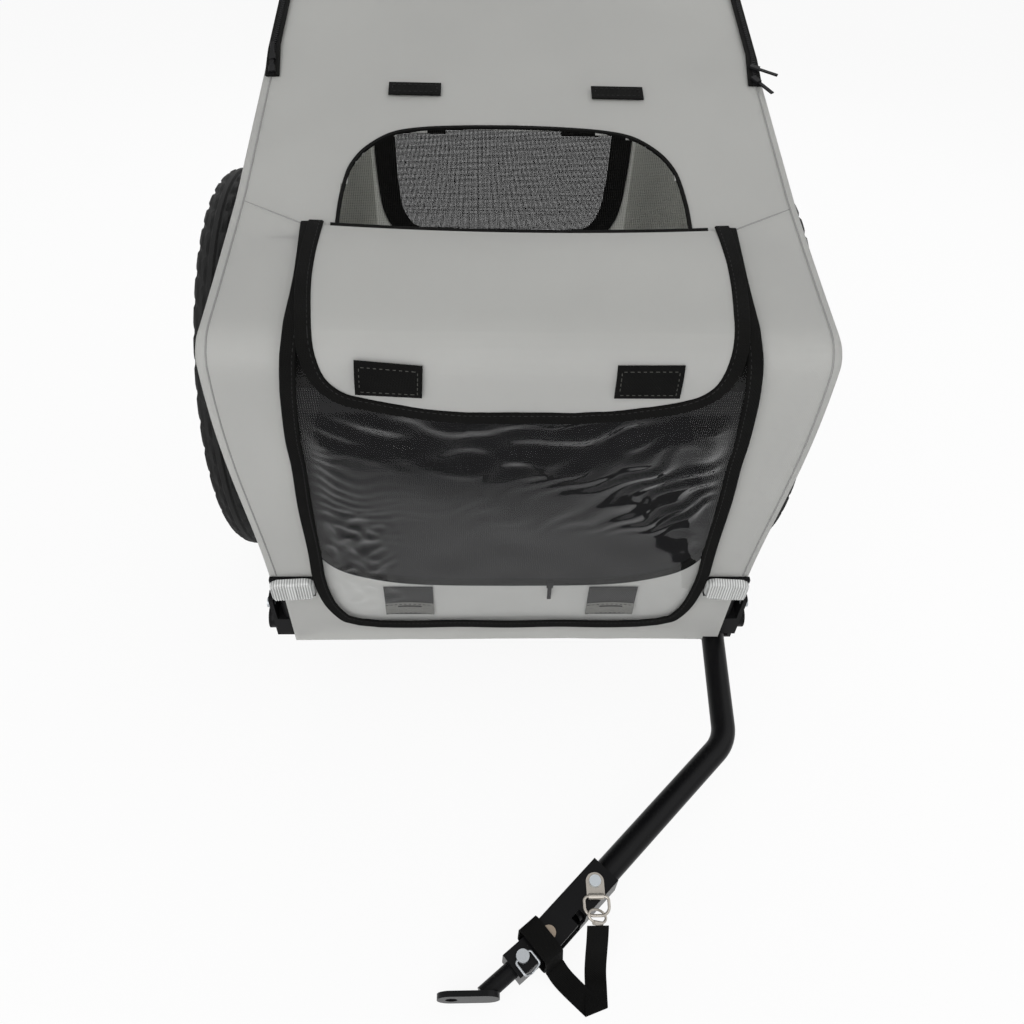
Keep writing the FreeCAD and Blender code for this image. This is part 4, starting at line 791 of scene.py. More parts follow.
def round_tube(centres, radius, sides):
    """Round cord along a list of points, with closed ends."""
    rings = []
    normal = run_at(centres, 0).orthogonal()
    for index, centre in enumerate(centres):
        ahead = run_at(centres, index).normalized()
        normal = (normal - ahead * normal.dot(ahead)).normalized()
        side = ahead.cross(normal)
        turns = [2 * math.pi * k / sides for k in range(sides)]
        rings.append([centre + (normal * math.cos(turn) + side * math.sin(turn)) * radius for turn in turns])
    return lofted(rings)


def thread_places(path):
    """Path resampled finely enough for a row of thread."""
    run = sum((after - before).length for before, after in zip(path, path[1:]))
    return resampled(path, int(run / THREAD_STEP))


def stitches(path, normals):
    """Row of thread dashes along a path on a surface."""
    meshes, dash, travelled = [], [], 0.0
    for index in range(1, len(path)):
        travelled += (path[index] - path[index - 1]).length
        if travelled % (STITCH_LENGTH + STITCH_GAP) < STITCH_LENGTH:
            dash.append(path[index] + normals[index] * STITCH_LIFT)
            continue
        if len(dash) > 1:
            meshes.append(round_tube([dash[0], dash[-1]], STITCH_R, STITCH_SIDES))
        dash = []
    return meshes


def smooth_object(name, meshes, material, sharp):
    """Level meshes as one smooth object in the frame."""
    whole = bpy.data.meshes.new(name)
    work = bmesh.new()
    for mesh in meshes:
        work.from_mesh(mesh)
    work.to_mesh(whole)
    work.free()
    whole.transform(TIP)
    whole.materials.append(MATERIALS[material])
    for face in whole.polygons:
        face.use_smooth = True
    whole.set_sharp_from_angle(angle=math.radians(sharp))
    piece = bpy.data.objects.new(name, whole)
    bpy.context.collection.objects.link(piece)
    return piece


def add_piece(name, meshes, material, body, replaces=(), folds=True, sharp=SHARP_ANGLE):
    """Piece that rides on a body; with folds set it gets a mesh of its own."""
    piece = smooth_object(name, meshes, material, sharp)
    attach(piece, body)
    if replaces:
        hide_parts(*replaces)
    if folds:
        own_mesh(piece)
    return piece


# Cabin outline

def half_width(z):
    return HALF_WIDTH - LEAN_SHARE * max(0.0, z - ELBOW_Z)


def bulge(y, z):
    """The cloth stands out over the front posts, most of all under the elbow."""
    near = max(0.0, 1 - abs(z - BULGE_Z) / BULGE_REACH)
    back = max(0.0, 1 - (y - FRONT_Y) / BULGE_FADE)
    return BULGE * math.sin(math.pi / 2 * near) ** 2 * back


def cover_outline():
    """Side outline up the front, back along the roof and down the rear, in evenly spaced runs."""
    hem_front, elbow = Vector((0, FRONT_Y, HEM_Z)), Vector((0, FRONT_Y, ELBOW_Z))
    roof_rear, rear_elbow = Vector((0, ROOF_REAR_Y, ROOF_REAR_Z)), Vector((0, REAR_Y, ELBOW_Z))
    hem_rear = Vector((0, REAR_Y, HEM_Z))
    first = arc_points(hem_front, elbow, roof_rear, ELBOW_R, ARC_STEPS)
    second = arc_points(elbow, roof_rear, rear_elbow, ROOF_CORNER_R, ARC_STEPS)
    third = arc_points(roof_rear, rear_elbow, hem_rear, REAR_ELBOW_R, ARC_STEPS)
    middle = ARC_STEPS // 2
    front = resampled([hem_front] + first[:middle + 1], UPRIGHT_STEPS)
    roof = resampled(first[middle:] + second[:middle + 1], ROOF_STEPS)
    rear = resampled(second[middle:] + third + [hem_rear], UPRIGHT_STEPS)
    return front[:-1] + roof[:-1] + rear


def outline_normals(path):
    """Normals that point out of the cabin."""
    runs = [run_at(path, index) for index in range(len(path))]
    return [Vector((0, -run.z, run.y)).normalized() for run in runs]


def outline_lengths(path):
    lengths = [HEM_Z - LENGTH_ZERO_Z]
    for before, after in zip(path, path[1:]):
        lengths.append(lengths[-1] + (after - before).length)
    return lengths


PATH = cover_outline()
NORMALS = outline_normals(PATH)
PATH_LENGTHS = outline_lengths(PATH)


def on_path(length):
    """Outline point and outward normal at a length along it."""
    low = min(max(bisect_right(PATH_LENGTHS, length) - 1, 0), len(PATH) - 2)
    share = (length - PATH_LENGTHS[low]) / (PATH_LENGTHS[low + 1] - PATH_LENGTHS[low])
    return PATH[low].lerp(PATH[low + 1], share), NORMALS[low].lerp(NORMALS[low + 1], share).normalized()


def length_at_front(z):
    """Length along the outline where the straight front is at a height."""
    return z - LENGTH_ZERO_Z


def length_at_roof(y):
    """Length along the outline where the roof is at a depth."""
    for index in range(UPRIGHT_STEPS, UPRIGHT_STEPS + ROOF_STEPS):
        if PATH[index].y <= y <= PATH[index + 1].y:
            share = (y - PATH[index].y) / (PATH[index + 1].y - PATH[index].y)
            return PATH_LENGTHS[index] + share * (PATH_LENGTHS[index + 1] - PATH_LENGTHS[index])
    raise ValueError("not on the roof")


def on_cover(x, length, lift):
    """Point on the front, hood or roof at a lift from the cloth."""
    point, normal = on_path(length)
    return Vector((x, point.y, point.z)) + normal * lift


def ripple(point):
    """Small soft unevenness of stretched cloth."""
    return sum(height * noise.noise(Vector(point) * scale) for height, scale in RIPPLES)


# Openings in the cover

def mirrored_outline(points, shift=0.0):
    """Closed outline from its right half, shifted sideways."""
    right = smooth_curve([Vector((x, z, 0)) for x, z in points], OUTLINE_STEPS)
    left = [Vector((-p.x, p.y, 0)) for p in reversed(right) if abs(p.x) > SAME_GAP]
    return [p + ACROSS * shift for p in right + left]


DOOR_OUTLINE = mirrored_outline(DOOR_POINTS)
REAR_OUTLINE = mirrored_outline(REAR_POINTS)
ARCH_OUTLINE = mirrored_outline(ARCH_POINTS, ARCH_SHIFT)


def inside(outline, x, y):
    """Is a point inside a closed outline?"""
    hit = False
    for a, b in zip(outline, outline[1:] + outline[:1]):
        if (a.y > y) != (b.y > y) and x < (b.x - a.x) * (y - a.y) / (b.y - a.y) + a.x:
            hit = not hit
    return hit


def in_opening(point):
    if point.y < FRONT_Y + EDGE_R and point.z < ELBOW_Z - ELBOW_R:
        return inside(DOOR_OUTLINE, point.x, point.z)
    if point.z > ELBOW_Z and point.y < ROOF_REAR_Y - ROOF_CORNER_R:
        return inside(ARCH_OUTLINE, point.x, point.y)
    if point.y > REAR_Y - EDGE_R:
        return inside(REAR_OUTLINE, point.x, point.z)
    return False


def trimmed_away(point):
    """Lower corners round the brackets, and the notches round the drawbar and each axle receiver."""
    rise = point.z - HEM_Z
    over = abs(point.x) - (HALF_WIDTH - HEM_NARROW)
    at_end = point.y < FRONT_Y + EDGE_R or point.y > REAR_Y - EDGE_R
    if at_end and over > 0 and rise < over / HEM_NARROW * HEM_CORNER_RISE:
        return True
    if point.y < FRONT_Y + EDGE_R and point.x > DRAWBAR_NOTCH_X and point.z < DRAWBAR_NOTCH_TOP:
        return True
    if abs(point.x) < HALF_WIDTH - EDGE_R:
        return False
    for run in (point.y - FRONT_Y, REAR_Y - point.y):
        if run < SIDE_CORNER_RUN and rise < (1 - run / SIDE_CORNER_RUN) * HEM_CORNER_RISE:
            return True
    return abs(point.y) < NOTCH_HALF and point.z < NOTCH_TOP


# The cover

def cover_section(index):
    """One cross-section of the cover's band: strip, rounded edge, flat, rounded edge, strip."""
    base, normal = PATH[index], NORMALS[index]
    half = half_width(base.z) + bulge(base.y, base.z)
    flat_half = half - EDGE_R
    right = []
    for step in range(1, EDGE_STEPS + 1):
        turn = math.pi / 2 * step / EDGE_STEPS
        right.append((flat_half + EDGE_R * math.sin(turn), EDGE_R * (1 - math.cos(turn))))
    right.append((half, EDGE_R + EDGE_STRIP))
    flat = [(x, 0.0) for x in spread(-flat_half, flat_half, FLAT_STEPS)]
    section = [(-x, depth) for x, depth in reversed(right)] + flat + right
    return [Vector((x, base.y, base.z)) - normal * depth for x, depth in section]


def coons(left, right, bottom, top):
    """Patch between four boundary lines. left and right run up, bottom and top run back."""
    grid = []
    for r, v in enumerate(spread(0, 1, len(left) - 1)):
        line = []
        for c, u in enumerate(spread(0, 1, len(bottom) - 1)):
            ruled = left[r] * (1 - u) + right[r] * u + bottom[c] * (1 - v) + top[c] * v
            corner = (bottom[0] * (1 - u) * (1 - v) + bottom[-1] * u * (1 - v)
                      + top[0] * (1 - u) * v + top[-1] * u * v)
            line.append(ruled - corner)
        grid.append(line)
    return grid


def side_grid(edge):
    """Side cloth inside the band's edge, a little drawn in between the tubes."""
    front = edge[:UPRIGHT_STEPS + 1]
    roof = edge[UPRIGHT_STEPS:UPRIGHT_STEPS + ROOF_STEPS + 1]
    rear = list(reversed(edge[UPRIGHT_STEPS + ROOF_STEPS:]))
    bottom = [front[0].lerp(rear[0], share) for share in spread(0, 1, ROOF_STEPS)]
    grid = coons(front, rear, bottom, roof)
    side = 1 if edge[0].x > 0 else -1
    for r, line in enumerate(grid):
        for c, point in enumerate(line):
            share = math.sin(math.pi * r / (len(grid) - 1)) * math.sin(math.pi * c / (len(line) - 1))
            sag = (SIDE_SAG - ripple(point)) * share
            point.x = side * (half_width(point.z) + bulge(point.y, point.z) - sag)
    return grid


def cabin_cover():
    """The whole sewn cover as one cloth, with its door, skylight and rear openings cut out."""
    sections = [cover_section(index) for index in range(len(PATH))]
    columns = len(sections[0])
    points = []
    for section, normal in zip(sections, NORMALS):
        for column, point in enumerate(section):
            flat = EDGE_STEPS < column < columns - EDGE_STEPS - 1
            sag = (ripple(point) - FRONT_SAG) * math.cos(math.pi / 2 * point.x / HALF_WIDTH)
            points.append(point + normal * sag if flat else point)
    faces = grid_faces(len(sections), columns)
    for column in (0, columns - 1):
        grid = side_grid([section[column] for section in sections])
        start = len(points)
        points += [point for line in grid for point in line]
        faces += [tuple(start + k for k in face) for face in grid_faces(len(grid), len(grid[0]))]
    mesh = welded(mesh_from(points, faces), WELD_GAP)
    cut(mesh, lambda point: in_opening(point) or trimmed_away(point))
    return add_piece("cabin_cover", [thickened(mesh, CLOTH_THICK)], "grey_cloth", "chassis",
                     ("front_panel", "roof_panel", "side_panels", "rear_panel"), sharp=COVER_SHARP_ANGLE)


def seam_cords_painted_shade():
    """Grey cords sunk along both side seams and out from the hood's crease; their darker grey is painted shade of
    the seam lines.
    """
    meshes = []
    for side in SIDES:
        line = [Vector((side * (half_width(p.z) + bulge(p.y, p.z) - SEAM_INSET), p.y, p.z)) - n * SEAM_DEPTH
                for p, n in zip(PATH, NORMALS) if p.z > HEM_Z + HEM_CORNER_RISE]
        depths = spread(CREASE_Y, CREASE_Y + CREASE_SEAM_RUN, CREASE_SEAM_STEPS)
        crease = [on_cover(side * x, length_at_roof(y), -CREASE_SEAM_DEPTH)
                  for x, y in zip(spread(*CREASE_SEAM_X, CREASE_SEAM_STEPS), depths)]
        meshes += [round_tube(run, SEAM_R, SEAM_SIDES) for run in (line, crease)]
    return [add_piece("seam_cords_painted_shade", meshes, "seam", "chassis")]


# Thin sheets that follow the front and hood

def interpolated(table, place):
    """Value at a place, from (place, value) pairs in rising order."""
    for (p0, v0), (p1, v1) in zip(table, table[1:]):
        if place <= p1:
            return v0 + (v1 - v0) * (place - p0) / (p1 - p0)
    return table[-1][1]


def smooth_table(*pairs):
    curve = smooth_curve([Vector((place, value, 0)) for place, value in pairs], OUTLINE_STEPS)
    return [(point.x, point.y) for point in curve]


CREASE_LENGTH = length_at_roof(CREASE_Y)
HINGE_LENGTH = length_at_front(HINGE_Z)
FLAP_SPLIT_LENGTH = length_at_roof(FRONT_Y + ELBOW_R / 2)
RAIN_BOTTOM_LENGTH = length_at_front(RAIN_BOTTOM_Z)
FLAP_TIP_LENGTH = length_at_front(FLAP_TIP_Z)
RAIN_TABLE = smooth_table((RAIN_BOTTOM_LENGTH, RAIN_BOTTOM_HALF), *RAIN_HALVES,
                          (CREASE_LENGTH, RAIN_CREASE_HALF))
FLAP_TABLE = smooth_table((FLAP_TIP_LENGTH, FLAP_TIP_HALF), *FLAP_HALVES,
                          (CREASE_LENGTH, FLAP_CREASE_HALF))


def unslipped(x, length):
    return 0.0


def sheet_mesh(lengths, half_at, columns, lift_at, slip_at=unslipped):
    """Sheet over the front and hood, row by row along the outline, slipped forward where slip_at says."""
    points = []
    for length in lengths:
        half = half_at(length)
        for column in range(columns + 1):
            x = half * (2 * column / columns - 1)
            points.append(on_cover(x, length - slip_at(x, length), lift_at(x, length)))
    return mesh_from(points, grid_faces(len(lengths), columns + 1))


def edge_path(half_at, high, low, steps):
    """Outline of a hanging sheet as (x, length): down the left edge, along the bottom and up the right."""
    bottom_steps, side_steps = steps
    left = [Vector((-half_at(length), length, 0)) for length in spread(high, low, side_steps)]
    half = half_at(low)
    bottom = [Vector((x, low, 0)) for x in spread(-half, half, bottom_steps)[1:-1]]
    return left + bottom + [Vector((-place.x, place.y, 0)) for place in reversed(left)]


def side_paths(half_at, low, high, steps):
    """Both side edges of a sheet, upward."""
    lengths = spread(low, high, steps)
    return [[Vector((side * half_at(length), length, 0)) for length in lengths] for side in SIDES]


def binding_mesh(path, width, lift_at, inward):
    """Tape along an edge path, on its left (1) or right (-1), following the cover."""
    centres, across = [], []
    for index, place in enumerate(path):
        run = run_at(path, index).normalized()
        aside = Vector((-run.y, run.x, 0))
        middle = place + aside * (inward * width / 2)
        tip = middle + aside
        lift = lift_at(place.x, place.y)
        centres.append(on_cover(middle.x, middle.y, lift))
        across.append(on_cover(tip.x, tip.y, lift) - centres[-1])
    return ribbon(centres, across, width, TAPE_THICK)


def binding_thread(path, inset, lift_at):
    """Row of thread along a binding, at an inset from the edge path."""
    path = thread_places(path)
    points, normals = [], []
    for index, place in enumerate(path):
        ahead = run_at(path, index).normalized()
        spot = place + Vector((-ahead.y, ahead.x, 0)) * inset
        points.append(on_cover(spot.x, spot.y, lift_at(place.x, place.y) + TAPE_THICK / 2))
        normals.append(on_path(spot.y)[1])
    return stitches(points, normals)


def binding(names, paths, inwards, lift_at, body, replaces=()):
    """Tape with its row of thread along edge paths."""
    tape_name, thread_name = names
    tapes, threads = [], []
    for path, inward in zip(paths, inwards):
        tapes.append(binding_mesh(path, TAPE_WIDTH, lift_at, inward))
        threads += binding_thread(path, inward * THREAD_INSET, lift_at)
    tape = add_piece(tape_name, tapes, "black_webbing", body, replaces)
    add_piece(thread_name, threads, "dark_stitch", body)


def freed(length):
    """From 0 at the crease seam to 1 where a sheet over the hood lies free of it."""
    away = min((CREASE_LENGTH - length) / CREASE_RUN, 1.0)
    return away * (2 - away)


# Rain cover

def rain_half(length):
    height, run = RAIN_WAVER
    return interpolated(RAIN_TABLE, length) + height * math.sin(length / run)


def film_half(length):
    return rain_half(length) - TAPE_WIDTH / 2


def within(length, span, fade):
    """1 inside a span of lengths, fading to 0 at its ends."""
    low, high = span
    return clamped((length - low) / fade) * clamped((high - length) / fade)


def over_swag(x, length):
    """Height above the swag's ridge line."""
    across = min(abs(x - SWAG_MIDDLE_X) / rain_half(length), 1.0)
    return length - length_at_front(SWAG_HIGH_Z) + SWAG_DROP * (1 - across ** SWAG_POWER)


def swag(x, length):
    away = over_swag(x, length)
    return SWAG_RISE * math.exp(-(away / (SWAG_ABOVE if away > 0 else SWAG_BELOW)) ** 2)


def crumples(x, length):
    away = over_swag(x, length)
    across, along = CRUMPLE_RUNS
    rough = noise.noise(Vector((x / across, away / along, 0)))
    return CRUMPLE_RISE * rough * clamped(away / CRUMPLE_START)


def gathers(x, length):
    rise = 0.0
    for side, height, run, slant, reach in GATHERS:
        aside = rain_half(length) - side * x
        bend = noise.noise(Vector((x, length, 0)) / SMALL_RUN)
        wave = math.cos(2 * math.pi * ((length + slant * aside) / run + bend))
        rise += height * wave * math.exp(-aside / reach)
    return rise * within(length, GATHER_SPAN, GATHER_FADE)


def low_crumples(x, length):
    rise = 0.0
    for side, height, reach, run in LOW_CRUMPLES:
        near = clamped(1 - (rain_half(length) - side * x) / reach)
        rise += height * near * (1 - 2 * abs(noise.noise(Vector((x, length, 0)) / run)))
    return rise * within(length, LOW_SPAN, LOW_FADE)


def rain_base(length):
    return RAIN_SEAM_LIFT + (RAIN_LIFT - RAIN_SEAM_LIFT) * freed(length)


def rain_lift(x, length):
    """The film stands off the door in soft folds, and is held flat at its binding and under the flap."""
    folds = swag(x, length) + crumples(x, length) + gathers(x, length)
    folds *= clamped((length_at_front(FOLDS_END_Z) - length) / FOLDS_FADE)
    folds += low_crumples(x, length) + SMALL_RISE * noise.noise(Vector((x, length, 0)) / SMALL_RUN)
    held = clamped((rain_half(length) - TAPE_WIDTH - abs(x)) / EDGE_HOLD)
    return rain_base(length) + max(folds * eased(held), LEAST_LIFT - RAIN_LIFT)


def tape_lift(x, length):
    height, run = TAPE_WAVER
    return rain_base(length) + TAPE_LIFT + height * math.sin((x + length) / run)


def rain_cover():
    """Clear film over the door and the hood, with its binding."""
    for name, low, high, body, node in (
            ("rain_film", RAIN_BOTTOM_LENGTH, HINGE_LENGTH, "rain_cover", "rain_cover"),
            ("rain_film_top", HINGE_LENGTH, CREASE_LENGTH - RAIN_TUCK, "chassis", "rain_cover_top")):
        film = sheet_mesh(spread(low, high, RAIN_ROWS), film_half, RAIN_COLUMNS, rain_lift)
        add_piece(name, [film], "clear_film", body, (node,))
    edge = edge_path(rain_half, HINGE_LENGTH, RAIN_BOTTOM_LENGTH, RAIN_EDGE_STEPS)
    binding(("rain_tape", "rain_thread"), [edge], (1,), tape_lift, "rain_cover", ("rain_cover_binding",))
    sides = side_paths(rain_half, HINGE_LENGTH - RAIN_TOP_OVERLAP, CREASE_LENGTH, RAIN_TOP_STEPS)
    binding(("rain_tape_top", "rain_thread_top"), sides, SIDES, tape_lift, "chassis")


# Skylight flap

def flap_half(length):
    return interpolated(FLAP_TABLE, length)


def flap_cloth_half(length):
    return flap_half(length) - TAPE_WIDTH / 2


def flap_lift(x, length):
    sag = sum(height * noise.noise(Vector((x * across, length * along, seed)))
              for height, (across, along), seed in FLAP_SAGS)
    return FLAP_SEAM_LIFT + (FLAP_LIFT - FLAP_SEAM_LIFT + sag) * freed(length)


def flap_tape_lift(x, length):
    return flap_lift(x, length) + FLAP_TAPE_LIFT


def flap_slip(x, length):
    """The flap's seam has slipped forward, most of all in its middle."""
    return (FLAP_SLIP + FLAP_DIP * (1 - (x / flap_half(length)) ** 2)) * (1 - freed(length))


def skylight_hem():
    """Binding of the skylight's front edge. It only just shows behind the flap."""
    high = CREASE_LENGTH + SKY_HEM_SHOWN
    rows = spread(high - SKY_HEM_WIDTH, high, SKY_HEM_ROWS)
    mesh = sheet_mesh(rows, lambda length: SKY_HEM_HALF, FLAP_COLUMNS, lambda x, length: SKY_HEM_LIFT,
                      lambda x, length: flap_slip(x, CREASE_LENGTH))
    return [add_piece("skylight_hem", [thickened(mesh, TAPE_THICK)], "black_webbing", "chassis")]


def flap_pieces():
    """Flap thrown forward over the hood, its hanging tip with the patches, and their bindings."""
    low = FLAP_SPLIT_LENGTH - FLAP_OVERLAP
    rows = spread(low, CREASE_LENGTH, FLAP_ROWS)
    mesh = thickened(sheet_mesh(rows, flap_cloth_half, FLAP_COLUMNS, flap_lift, flap_slip), FLAP_THICK)
    add_piece("flap_cloth", [mesh], "grey_cloth", "flap", ("sky_flap",))
    tip_rows = spread(FLAP_TIP_LENGTH + TAPE_WIDTH / 2, FLAP_SPLIT_LENGTH, FLAP_TIP_ROWS)
    mesh = thickened(sheet_mesh(tip_rows, flap_cloth_half, FLAP_COLUMNS, flap_lift), FLAP_THICK)
    tip = add_piece("flap_tip_cloth", [mesh], "grey_cloth", "flap_tip", ("flap_tip",))
    spots = [(x, length_at_front(PATCH_Z), turn) for x, turn in PATCH_SPOTS]
    sewn_oblongs(("flap_patches_cloth", "patch_thread"), spots, PATCH_SIZE,
                                    FLAP_LIFT + PATCH_LIFT, "stitch", "flap_tip", "flap_patches")
    sides = side_paths(flap_half, low, CREASE_LENGTH, FLAP_ROWS)
    binding(("flap_tape", "flap_thread"), sides, SIDES, flap_tape_lift, "flap")
    edge = edge_path(flap_half, FLAP_SPLIT_LENGTH, FLAP_TIP_LENGTH, FLAP_EDGE_STEPS)
    binding(("flap_tip_tape", "flap_tip_thread"), [edge], (1,), flap_tape_lift, "flap_tip")


# Oblongs of tape sewn on the cover

def turned(x, length, aside, along, turn):
    """Place at an offset from (x, length) in an oblong that is turned a little on the cloth."""
    c, s = math.cos(math.radians(turn)), math.sin(math.radians(turn))
    return x + aside * c - along * s, length + aside * s + along * c


def patch_mesh(x, length, size, lift, thick, turn=0.0):
    """Oblong of tape on the front, hood or roof."""
    width, height = size
    points = []
    for along in spread(-height / 2, height / 2, PATCH_STEPS):
        points += [on_cover(*turned(x, length, aside, along, turn), lift)
                   for aside in spread(-width / 2, width / 2, PATCH_STEPS)]
    return thickened(mesh_from(points, grid_faces(PATCH_STEPS + 1, PATCH_STEPS + 1)), -thick)


def oblong_stitches(x, length, size, lift, turn):
    """Row of thread round an oblong."""
    half_w, half_h = (side / 2 - PATCH_EDGE for side in size)
    ways = ((-1, -1), (1, -1), (1, 1), (-1, 1), (-1, -1))
    corners = [Vector((u * half_w, v * half_h, 0)) for u, v in ways]
    path, normals = [], []
    for offset in thread_places(corners):
        place = turned(x, length, offset.x, offset.y, turn)
        path.append(on_cover(*place, lift))
        normals.append(on_path(place[1])[1])
    return stitches(path, normals)


def sewn_oblongs(names, spots, size, lift, thread, body, node):
    """Patches at spots of (x, length, turn) that stand for a node, with the thread round each."""
    patches = [patch_mesh(x, length, size, lift, PATCH_THICK, turn) for x, length, turn in spots]
    threads = []
    for x, length, turn in spots:
        threads += oblong_stitches(x, length, size, lift + PATCH_THICK, turn)
    patch_name, thread_name = names
    return [add_piece(patch_name, patches, "black_webbing", body, (node,)),
            add_piece(thread_name, threads, thread, body)]


def roof_strips():
    spots = [(side * STRIP_X, length_at_roof(STRIP_Y), 0.0) for side in SIDES]
    return sewn_oblongs(("roof_strips_tape", "strip_thread"), spots, STRIP_SIZE, STRIP_LIFT, "dark_stitch",
                        "chassis", "roof_strips")


def door_header():
    """Dark cloth over the door's top, under the flap."""
    header = patch_mesh(0, length_at_front(HEADER_Z), HEADER_SIZE, HEADER_LIFT, HEADER_THICK)
    return [add_piece("door_header", [header], "black_webbing", "chassis")]


# Doors and skylight

def fan_sheet(outline, place):
    """Flat sheet inside an outline, each outline point put in space by place(x, v)."""
    centre = sum(outline, Vector()) / len(outline)
    points = []
    for share in spread(0, 1, NET_STEPS):
        points += [place(*centre.lerp(point, share).xy) for point in outline]
    return welded(mesh_from(points, grid_faces(NET_STEPS + 1, len(outline), ring=True)), NET_WELD_GAP)


def outline_tape(outline, place, width, thick):
    """Tape all along a closed outline."""
    centres, across = [], []
    for index in range(len(outline) + 1):
        point = outline[index % len(outline)]
        run = (outline[(index + 1) % len(outline)] - outline[index - 1]).normalized()
        centres.append(place(*point.xy))
        across.append(place(point.x - run.y, point.y + run.x) - centres[-1])
    return ribbon(centres, across, width, thick)


def on_front(x, z):
    return Vector((x, FRONT_Y + NET_INSET, z))


def on_rear(x, z):
    return Vector((x, REAR_Y - NET_INSET, z))


def in_roof(x, y):
    return on_cover(x, length_at_roof(y), -NET_INSET)


def zip_pull(top, down, across):
    """Slider and slim pull tab, hanging from a point."""
    sides = [across, across]
    slider = [top - down * SLIDER_ABOVE, top + down * SLIDER_BELOW]
    tab = [top + down * PULL_START, top + down * PULL_LENGTH]
    return [ribbon(slider, sides, SLIDER_WIDTH, SLIDER_THICK), ribbon(tab, sides, PULL_WIDTH, PULL_THICK)]


def front_door():
    net = fan_sheet(DOOR_OUTLINE, on_front)
    add_piece("front_net", [net], "black_mesh", "front_door", ("front_door",))
    tape = outline_tape(DOOR_OUTLINE, on_front, DOOR_TAPE, DOOR_TAPE_THICK)
    add_piece("front_door_tape", [tape], "black_webbing", "chassis")
    x, z = DOOR_PULL_SPOT
    pull = zip_pull(Vector((x, FRONT_Y - DOOR_PULL_LIFT, z)), DOOR_PULL_WAY.normalized(), ACROSS)
    add_piece("door_pull", pull, "black_plastic", "front_door", ("door_zip_pull",))


def rear_door():
    net = add_piece("rear_net", [fan_sheet(REAR_OUTLINE, on_rear)], "rear_mesh", "rear_door", ("rear_door",))
    tape = outline_tape(REAR_OUTLINE, on_rear, REAR_TAPE, REAR_TAPE_THICK)
    add_piece("rear_door_tape", [tape], "black_webbing", "chassis")
    width, height = PATCH_SIZE
    meshes = []
    for side in SIDES:
        foot = Vector((side * REAR_PATCH_X, REAR_Y - REAR_PATCH_LIFT, REAR_PATCH_LOW_Z))
        meshes.append(ribbon([foot, foot + UPRIGHT * height], [ACROSS, ACROSS], width, PATCH_THICK))
    add_piece("rear_patches", meshes, "black_webbing", "rear_door")


def skylight():
    mesh = fan_sheet(ARCH_OUTLINE, in_roof)
    net = add_piece("skylight_net", [mesh], "fine_mesh", "chassis", ("skylight_mesh",))
    tape = outline_tape(ARCH_OUTLINE, in_roof, ARCH_TAPE, ARCH_TAPE_THICK)
    add_piece("skylight_tape", [tape], "black_webbing", "chassis")


# Zips on the roof edges

def on_edge(side, y, lift):
    """Place on the rounded roof edge where the zip runs, its outward normal and the way across the tape."""
    base, normal = on_path(length_at_roof(y))
    away = clamped((y - ZIP_FRONT_Y) / (ZIP_TURN_Y - ZIP_FRONT_Y))
    front_inset, rear_inset = ZIP_INSETS
    lean = math.asin(clamped(1 - (front_inset + (rear_inset - front_inset) * away) / EDGE_R))
    out = ACROSS * (side * math.sin(lean)) + normal * math.cos(lean)
    across = ACROSS * math.cos(lean) - normal * (side * math.sin(lean))
    axis = Vector((side * (half_width(base.z) - EDGE_R), base.y, base.z)) - normal * EDGE_R
    return axis + out * (EDGE_R + lift), out, across


def edge_ribbon(side, depths, lift, width):
    spots, _, across = zip(*(on_edge(side, y, lift) for y in depths))
    return ribbon(spots, across, width, ZIP_THICK)


def roof_zips():
    """Zip tape and teeth on both roof edges. The pulls at +X stand out, the others are tucked back."""
    tapes, teeth = [], []
    for side in SIDES:
        tapes.append(edge_ribbon(side, spread(ZIP_FRONT_Y, ZIP_REAR_Y, ZIP_STEPS), ZIP_LIFT, ZIP_TAPE))
        for k in range(int((ZIP_REAR_Y - ZIP_FRONT_Y) / TOOTH_PITCH)):
            y = ZIP_FRONT_Y + k * TOOTH_PITCH
            ends = (y, y + TOOTH_PITCH * TOOTH_SHARE)
            teeth.append(edge_ribbon(side, ends, ZIP_LIFT + TOOTH_LIFT, TOOTH_WIDTH))
        for y, way in ROOF_PULLS:
            spot, out, _ = on_edge(side, y, ZIP_LIFT + ROOF_PULL_LIFT)
            aside, along = way if side > 0 else TUCKED_WAY
            down = Vector((side * aside, along, along * ROOF_SLOPE_SHARE)).normalized()
            teeth += zip_pull(spot, down, down.cross(out).normalized())
    tape = add_piece("roof_zip_tape", tapes, "black_webbing", "chassis", ("roof_zips",))
    add_piece("roof_zip_teeth", teeth, "black_plastic", "chassis")
    return [tape]


# Loop handles and reflectors on the front

def loop_line(x, aside, lift):
    """Line along a loop's band, arched up and bulged out, shifted up by aside and out by lift."""
    line = []
    for share in spread(-1, 1, LOOP_STEPS):
        crown = math.cos(math.pi / 2 * share)
        line.append(Vector((x + share * LOOP_WIDTH / 2, FRONT_Y - LOOP_LIFT - LOOP_BULGE * crown - lift,
                            LOOP_LOW_Z + LOOP_BAND / 2 + LOOP_ARCH * crown + aside)))
    return line


